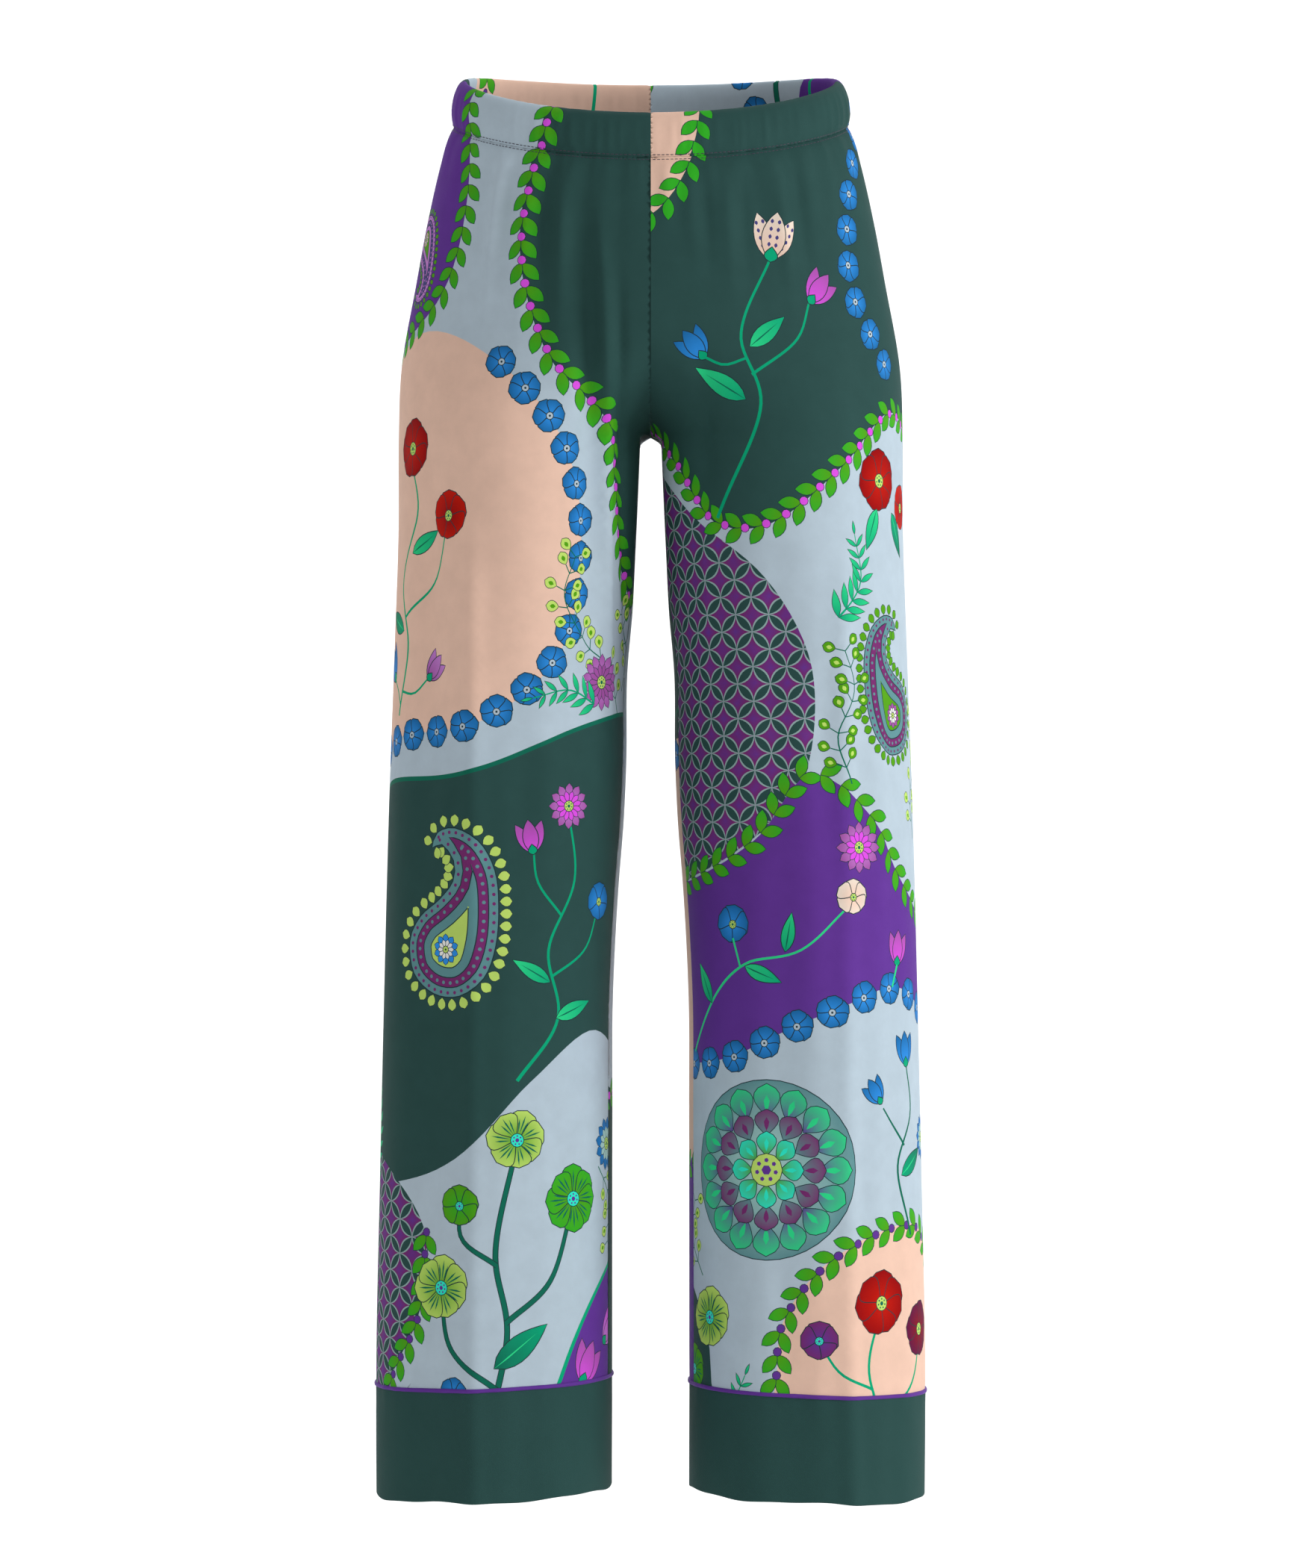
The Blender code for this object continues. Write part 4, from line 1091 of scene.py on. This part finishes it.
def spread(outline, step, top, foot):
    """Points inside an outline, staggered, between two heights."""
    low, high = outline.min(0), outline.max(0)
    spots = []
    for i, row in enumerate(np.arange(max(low[1], top), min(high[1], foot), step * 0.87)):
        line = np.arange(low[0] + 0.5 * step * (i % 2), high[0], step)
        spots.append(np.column_stack((line, np.full(len(line), row))))
    spots = np.vstack(spots)
    return spots[holds(outline, spots)]


def triangles(rim, rim_edges, outline, shapes, steps):
    """Cuts a flat area along its shapes' outlines. Gives points, triangles and the points' origins."""
    spots, edges = [rim], [rim_edges]
    count = len(rim)
    low, high = rim.min(0) - 1, rim.max(0) + 1
    for points, *_ in shapes:
        if (points.max(0) < low).any() or (points.min(0) > high).any():
            continue
        number = np.arange(len(points)) + count
        spots.append(points)
        edges.append(np.column_stack((number, np.roll(number, -1))))
        count += len(points)
    spots += [spread(outline, *row) for row in steps]
    spots = [Vector(spot) for spot in np.vstack(spots).tolist()]
    points, _, faces, origins, _, _ = delaunay_2d_cdt(spots, np.vstack(edges).tolist(), [], 0, 0.01)
    points, faces = np.array([tuple(p) for p in points]), np.array(faces)
    return points, faces[holds(outline, points[faces].mean(axis=1))], origins


def colour_faces(points, faces, shapes):
    """The dye at each corner of each triangle: the last shape painted over it."""
    corners = points[faces]
    middles = corners.mean(axis=1)
    order = np.argsort(middles[:, 1])
    ranked = middles[order]
    top = np.full(len(faces), -1)
    for number, (outline, *_, clip) in enumerate(shapes):
        low, high = outline.min(0), outline.max(0)
        first, last = np.searchsorted(ranked[:, 1], (low[1], high[1]))
        near = order[first:last]
        near = near[(middles[near, 0] >= low[0]) & (middles[near, 0] <= high[0])]
        if len(near):
            inside = holds(outline, middles[near])
            if clip is not None:
                inside &= holds(clip, middles[near])
            top[near[inside]] = number
    dyes = np.zeros((len(faces), 3, 3))
    for number in np.unique(top):
        _, colour, to, at, reach, _ = shapes[number]
        chosen = top == number
        far = np.linalg.norm(corners[chosen] - np.array(at), axis=2)
        mix = np.clip(far / reach, 0, 1)[..., None] if colour != to else 0
        dyes[chosen] = DYES[colour] * (1 - mix) + DYES[to] * mix
    return dyes


def placed(name, data):
    """A new object in the scene."""
    made = bpy.data.objects.new(name, data)
    bpy.context.scene.collection.objects.link(made)
    return made


class Piece:
    """Collects the faces of one visible object."""

    def __init__(self):
        self.points, self.faces, self.normals, self.dyes, self.flats = [], [], [], [], []
        self.count = 0

    def add_points(self, points):
        self.points.append(points)
        self.count += len(points)
        return self.count - len(points)

    def keep(self, *values):
        """Faces, with a normal, a dye and a flat place for each corner."""
        for kept, value in zip((self.faces, self.normals, self.dyes, self.flats), values):
            kept.append(value)

    def add_faces(self, faces, normals, dyes, flats):
        """Triangles, each turned to face as its normals do."""
        corners = np.vstack(self.points)[faces]
        facing = np.cross(corners[:, 1] - corners[:, 0], corners[:, 2] - corners[:, 0])
        wrong = np.sum(facing * normals.sum(1), 1) < 0
        turn = np.where(wrong[:, None], (2, 1, 0), (0, 1, 2))
        pick = np.arange(len(faces))[:, None]
        self.keep(*(values[pick, turn] for values in (faces, normals, dyes, flats)))

    def add_grid(self, rows, dye, flats, wrap_rows=False):
        """A tube of rings, each closed on itself, with smooth normals."""
        rows = np.array(rows)
        across = np.roll(rows, -1, 1) - np.roll(rows, 1, 1)
        along = np.roll(rows, -1, 0) - np.roll(rows, 1, 0) if wrap_rows else np.gradient(rows, axis=0)
        normals = unit(np.cross(across, along)).reshape(-1, 3)
        count, columns = rows.shape[:2]
        i = np.arange(count if wrap_rows else count - 1)[:, None]
        j = np.arange(columns)[None, :]
        k, m = (i + 1) % count, (j + 1) % columns
        quads = np.broadcast_arrays(*(r * columns + s for r, s in ((i, j), (i, m), (k, m), (k, j))))
        quads = np.stack(quads, -1).reshape(-1, 4)
        tall, wide = flats
        corner = [
            np.stack(np.broadcast_arrays(s * wide / columns, r * tall / count), -1).reshape(-1, 2)
            for r, s in ((i, j), (i, j + 1), (i + 1, j + 1), (i + 1, j))
        ]
        first = self.add_points(rows.reshape(-1, 3))
        for pick in ((0, 1, 2), (0, 2, 3)):
            faces = quads[:, pick]
            dyes = np.broadcast_to(DYES[dye], (len(faces), 3, 3))
            self.keep(faces + first, normals[faces], dyes, np.stack([corner[p] for p in pick], axis=1))

    def make(self, name, material, slot, *nodes):
        points, faces = np.vstack(self.points), np.vstack(self.faces)
        mesh = bpy.data.meshes.new(name)
        mesh.vertices.add(len(points))
        mesh.vertices.foreach_set("co", points.ravel())
        mesh.loops.add(faces.size)
        mesh.loops.foreach_set("vertex_index", faces.ravel())
        mesh.polygons.add(len(faces))
        mesh.polygons.foreach_set("loop_start", np.arange(0, faces.size, 3))
        mesh.update(calc_edges=True)
        mesh.uv_layers.new(name="flat").data.foreach_set("uv", np.vstack(self.flats).ravel() * MM)
        dye = mesh.color_attributes.new("dye", "FLOAT_COLOR", "CORNER")
        colours = np.concatenate(self.dyes).reshape(-1, 3)
        dye.data.foreach_set("color", np.column_stack((colours, np.ones(len(colours)))).ravel())
        mesh.shade_smooth()
        mesh.normals_split_custom_set(unit(np.concatenate(self.normals).reshape(-1, 3)).tolist())
        mesh.materials.append(material)
        made = placed(name, mesh)
        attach(made, "root")
        if nodes:
            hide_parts(*nodes)
        print(name, len(faces), "triangles")
        return made


def wrong_side(dyes):
    """The paler back of printed cloth."""
    return 0.6 * dyes + 0.4 * (0.25 + 0.5 * dyes.mean(axis=-1, keepdims=True))


def printed(piece, surface, shapes, fields, mesh, lining_mesh):
    """Adds one printed cloth: its right side, its paler wrong side and its cut edge."""
    outline = surface.outline()
    number = np.arange(len(outline))
    ring = np.column_stack((number, np.roll(number, -1)))
    flat, faces, _ = triangles(outline, ring, outline, shapes, mesh)
    used, faces = np.unique(faces, return_inverse=True)
    flat, faces = flat[used], faces.reshape(-1, 3)
    points, normals = surface.find(flat)
    first = piece.add_points(points)
    piece.add_faces(faces + first, normals[faces], colour_faces(flat, faces, shapes), flat[faces])

    sides = np.sort(faces[:, [[0, 1], [1, 2], [2, 0]]].reshape(-1, 2), axis=1)
    sides, uses = np.unique(sides, axis=0, return_counts=True)
    rim, edge = np.unique(sides[uses == 1], return_inverse=True)
    edge = edge.reshape(-1, 2)
    under, faces, origins = triangles(flat[rim], edge, outline, fields, lining_mesh)
    inner, lining = surface.find(under)
    inner -= lining * CLOTH
    twin = np.full(len(rim), -1)
    for place, origin in enumerate(origins):
        for one in origin:
            if one < len(rim):
                twin[one] = place
    used = np.unique(faces)
    lookup = np.full(len(under), -1)
    lookup[used] = np.arange(len(used))
    second = piece.add_points(inner[used])
    dyes = wrong_side(colour_faces(under, faces, fields))
    piece.add_faces(lookup[faces] + second, -lining[faces], dyes, under[faces])

    a, b = edge.T
    c, d = lookup[twin[a]], lookup[twin[b]]
    good = (c >= 0) & (d >= 0)
    a, b, c, d = a[good], b[good], c[good] + second, d[good] + second
    start, end = rim[a], rim[b]
    outward = unit(np.cross(points[end] - points[start], normals[start]))
    spin = np.repeat(outward[:, None], 3, axis=1)
    place = np.stack((flat[start], flat[end], flat[end]), axis=1)
    dye = np.broadcast_to(DYES["slate"] * 0.5, (len(a), 3, 3))
    for corners in ((start + first, end + first, d), (start + first, d, c)):
        piece.add_faces(np.column_stack(corners), spin, dye, place)


def stitches(piece, points, normals):
    """A row of short thread stitches along points on the cloth."""
    profile = ((-0.5, 0.25), (-0.36, 0.9), (0, 1.15), (0.36, 0.9), (0.5, 0.25))
    along = np.concatenate(([0], np.cumsum(np.linalg.norm(np.diff(points, axis=0), axis=1))))
    angle = np.arange(6)[:, None] * math.pi / 3
    for middle in np.arange(STITCH, along[-1] - STITCH * 0.5, STITCH + STITCH_GAP):
        at = middle + STITCH * np.array([place for place, _ in profile])
        spine, up = (
            np.column_stack([np.interp(at, along, line) for line in values.T])
            for values in (points, normals)
        )
        across = np.cross(up, unit(spine[-1] - spine[0]))
        rings = []
        for k, (_, fat) in enumerate(profile):
            lift = spine[k] + up[k] * THREAD * (0.5 * fat - 0.15)
            rings.append(lift + THREAD * fat * (np.cos(angle) * across[k] + 0.8 * np.sin(angle) * up[k]))
        piece.add_grid(rings, "ink", (STITCH / MM, 1))


def ring_of(side, down, out, droop=0):
    """Points round a leg at an even spacing."""
    section = Section(down, side)
    at = np.linspace(section.start, section.end, RING_COLUMNS, endpoint=False)
    ring = section.points(at, section.fold_height(at) + section.small_folds(at) + out)
    ring[:, 2] += droop
    return ring


def cuff(side, name, material, node):
    """A doubled band, folded round at its hem, sewn under the piping."""
    top, hem, bend = SEAM_DOWN[side], HEM_DOWN[side], CUFF_DEEP / 2
    tall = hem - bend - top
    outer = [(top + tall * t, 0) for t in np.linspace(0, 1, 26)]
    fold = [(hem - bend + bend * math.sin(a), -bend + bend * math.cos(a)) for a in np.linspace(0.25, 2.9, 8)]
    inner = [(hem - bend - tall * t, -CUFF_DEEP) for t in np.linspace(0, 1, 12)]
    path = np.array(outer + fold + inner)
    ahead = unit(np.gradient(path, axis=0))
    back = path + CLOTH * np.column_stack((ahead[:, 1], -ahead[:, 0]))
    count, height, half, reach = CUFF_PUCKERS
    ripple = puckers(SHARE, count, side + 4, half) * ease(SHARE / 0.02) * ease((1 - SHARE) / 0.02)
    soft = np.sin(3 * AROUND + 1.3 * side) + 0.6 * np.sin(7 * AROUND + 2) + 0.4 * np.sin(11 * AROUND)
    wave = np.sin(HEM_WAVES * AROUND + side) + 0.35 * np.sin(13 * AROUND + 2 * side)
    rows = []
    for down, out in np.vstack((path, back[::-1])):
        low = float(ease((down - top) / (hem - top)))
        dent = height * ripple * bell(down - top, reach * MM) + 0.3 * soft * low
        rows.append(ring_of(side, down, out + dent * MM, low * HEM_WAVE * wave))
    piece = Piece()
    piece.add_grid(rows if side == RIGHT else [row[::-1] for row in rows], "dark_green", (170, 560), True)
    return piece.make(name, material, "cuff_cloth", node)


def piping(side, name, material, node):
    """A cord covered in bias cloth, slightly uneven where the stitches pull it in."""
    count, height, half = PIPING_PUCKERS
    swell = 1 + height * puckers(SHARE, count, side + 9, half) + 0.04 * np.sin(5 * AROUND + side)
    rows = []
    for angle in np.arange(12) * math.pi / 6:
        out = -PIPING_SUNK + PIPING_RADIUS * math.cos(angle) * swell
        rows.append(ring_of(side, SEAM_DOWN[side], out, PIPING_RADIUS * math.sin(angle) * swell))
    piece = Piece()
    piece.add_grid(rows if side == LEFT else [row[::-1] for row in rows], "violet", (9.4, 560), True)
    return piece.make(name, material, "piping", node)


class Nodes:
    """The nodes of one material. A socket is named with _ for each space."""

    def __init__(self, name, **values):
        self.material = bpy.data.materials.new(name)
        self.material.use_nodes = True
        self.tree = self.material.node_tree
        self.shader = self.set(self.tree.nodes["Principled BSDF"], **values)

    def set(self, node, **values):
        for key, value in values.items():
            socket = key.replace("_", " ")
            if socket in node.inputs:
                node.inputs[socket].default_value = value
            else:
                setattr(node, key, value)
        return node

    def add(self, kind, **values):
        return self.set(self.tree.nodes.new("ShaderNode" + kind), **values)

    def join(self, *links):
        for a, output, b, socket in links:
            self.tree.links.new(a.outputs[output], b.inputs[socket])


def satin(name, roughness, sheen, weave, mottle):
    """Dyed cloth: the dye's own uneven tone, a fine satin weave and small unevenness of the surface."""
    n = Nodes(
        name, Roughness=roughness, Sheen_Weight=sheen, Sheen_Roughness=0.4, Specular_IOR_Level=0.04,
    )
    place = n.add("UVMap", uv_map="flat")
    dye = n.add("VertexColor", layer_name="dye")
    wash = n.add("TexNoise", Scale=55, Detail=5, Roughness=0.6)
    tone = n.add("MapRange", From_Min=0.3, From_Max=0.7, To_Min=1 - mottle, To_Max=1 + mottle)
    shade = n.add("CombineXYZ")
    blend = n.add("VectorMath", operation="MULTIPLY")
    n.join(
        (place, "UV", wash, "Vector"), (wash, "Fac", tone, "Value"),
        *((tone, "Result", shade, axis) for axis in "XYZ"),
        (dye, "Color", blend, 0), (shade, "Vector", blend, 1), (blend, "Vector", n.shader, "Base Color"),
    )

    turn = n.add("Mapping", Rotation=(0, 0, math.radians(63)))
    twill = n.add("TexWave", Scale=520, Distortion=1.2, Detail=1)
    warp = n.add("TexWave", Scale=760, Distortion=0.6, Detail=1)
    slub = n.add("TexNoise", Scale=260, Detail=3)
    both = n.add("Math", operation="MULTIPLY")
    height = n.add("Math", operation="ADD")
    bump = n.add("Bump", Strength=weave, Distance=0.00025)
    n.join(
        (place, "UV", turn, "Vector"), (turn, "Vector", twill, "Vector"), (place, "UV", warp, "Vector"),
        (place, "UV", slub, "Vector"), (twill, "Fac", both, 0), (warp, "Fac", both, 1),
        (both, "Value", height, 0), (slub, "Fac", height, 1), (height, "Value", bump, "Height"),
        (bump, "Normal", n.shader, "Normal"),
    )
    return n.material


def thread(name, colour):
    n = Nodes(name, Base_Color=(*linear(colour), 1), Roughness=0.6, Sheen_Weight=0.2)
    noise = n.add("TexNoise", Scale=3000)
    bump = n.add("Bump", Strength=0.3, Distance=0.0001)
    n.join((noise, "Fac", bump, "Height"), (bump, "Normal", n.shader, "Normal"))
    return n.material


def turned_round(shapes):
    """A layout turned half round, for the other face."""
    whole = np.array((0, LAYOUT_LENGTH))
    return [
        (whole - points, colour, to, whole - np.array(at), reach, None if clip is None else whole - clip)
        for points, colour, to, at, reach, clip in shapes
    ]


print_cloth = satin("print_cloth", 0.6, 0.01, 0.35, 0.04)
cuff_cloth = satin("cuff_cloth", 0.65, 0.01, 0.4, 0.03)
piping_cloth = satin("piping_cloth", 0.5, 0.05, 0.3, 0.04)
stitch_thread = thread("stitch_thread", (54, 48, 66))

LAYOUTS = {}
for side, draw in ((RIGHT, left_layout), (LEFT, right_layout)):
    cloth = draw()
    LAYOUTS[side, FRONT] = cloth.shapes, cloth.fields
    LAYOUTS[-side, BACK] = turned_round(cloth.shapes), turned_round(cloth.fields)

NAMES = {(LEFT, FRONT): "front_left", (RIGHT, FRONT): "front_right",
         (LEFT, BACK): "back_left", (RIGHT, BACK): "back_right"}

casing = Piece()
stitching = Piece()
for (side, face), node in NAMES.items():
    panel = Panel(side, face)
    piece = Piece()
    printed(piece, panel, *LAYOUTS[side, face], PANEL_MESH, LINING_MESH)
    made = piece.make("leg_cloth_" + node, print_cloth, "print_cloth", node)

    quarter = Casing(side, face)
    printed(casing, quarter, *LAYOUTS[side, face], CASING_MESH, FACING_MESH)
    share = np.linspace(0, 1, 600)
    for surface, down in ((quarter, CASING_STITCH), (panel, PANEL_STITCH)):
        stitches(stitching, *surface.place(share, 0 * share + down))

made = casing.make("waist_casing", print_cloth, "print_cloth", "waistband")
stitching.make("waist_stitching", stitch_thread, "print_cloth")

for side, end in ((LEFT, "left"), (RIGHT, "right")):
    made = cuff(side, "cuff_cloth_" + end, cuff_cloth, "cuff_" + end)
    piping(side, "piping_cord_" + end, piping_cloth, "piping_" + end)

# Camera: looks level along +Y from 4.2 m, where 1 px of the 1737 x 2100 frame is 0.552 mm
scene = bpy.context.scene
PIXEL, DISTANCE = 0.552 * MM, 4.2
eye = bpy.data.cameras.new("camera")
eye.sensor_width = 36
eye.lens = eye.sensor_width * DISTANCE / (2100 * PIXEL)
camera = placed("camera", eye)
camera.location = (-0.00166, -DISTANCE, -0.520)
camera.rotation_euler = (math.pi / 2, 0, 0)
scene.camera = camera


def backdrop():
    """A white studio sweep, far behind and well below the hems."""
    floor, wall, bend, wide = -1.35, 5.2, 1.4, 3.2
    turn = np.linspace(0, math.pi / 2, 16)
    sweep = [(wall - bend + bend * math.sin(a), floor + bend - bend * math.cos(a)) for a in turn]
    line = [(-3, floor), *sweep, (wall, 2.4)]
    mesh = bpy.data.meshes.new("backdrop")
    points = [(x, y, z) for y, z in line for x in (-wide, wide)]
    faces = [(2 * i, 2 * i + 1, 2 * i + 3, 2 * i + 2) for i in range(len(line) - 1)]
    mesh.from_pydata(points, [], faces)
    mesh.shade_smooth()
    white = Nodes("studio_white", Base_Color=(0.9, 0.9, 0.9, 1), Roughness=0.9, Specular_IOR_Level=0.1)
    mesh.materials.append(white.material)
    made = placed("backdrop", mesh)


def softbox(name, place, aim, wide, tall, power):
    lamp = bpy.data.lights.new(name, "AREA")
    lamp.shape, lamp.size, lamp.size_y, lamp.energy = "RECTANGLE", wide, tall, power
    made = placed(name, lamp)
    made.location = place
    made.rotation_euler = (Vector(aim) - Vector(place)).to_track_quat("-Z", "Y").to_euler()


backdrop()
world = bpy.data.worlds.new("studio")
world.use_nodes = True
background = world.node_tree.nodes["Background"].inputs
background["Color"].default_value = (1, 1, 1, 1)
background["Strength"].default_value = 0.52
scene.world = world
scene.view_settings.view_transform = "Standard"
softbox("key", (3.3, -1.5, 0.5), (0.05, 0, -0.5), 1.3, 2, 74)
softbox("fill", (-3, -1.6, 0), (-0.05, 0, -0.5), 1.6, 2.2, 3)
softbox("wash", (0, 1.6, 2.2), (0, 4.6, -1), 4, 1.2, 135)
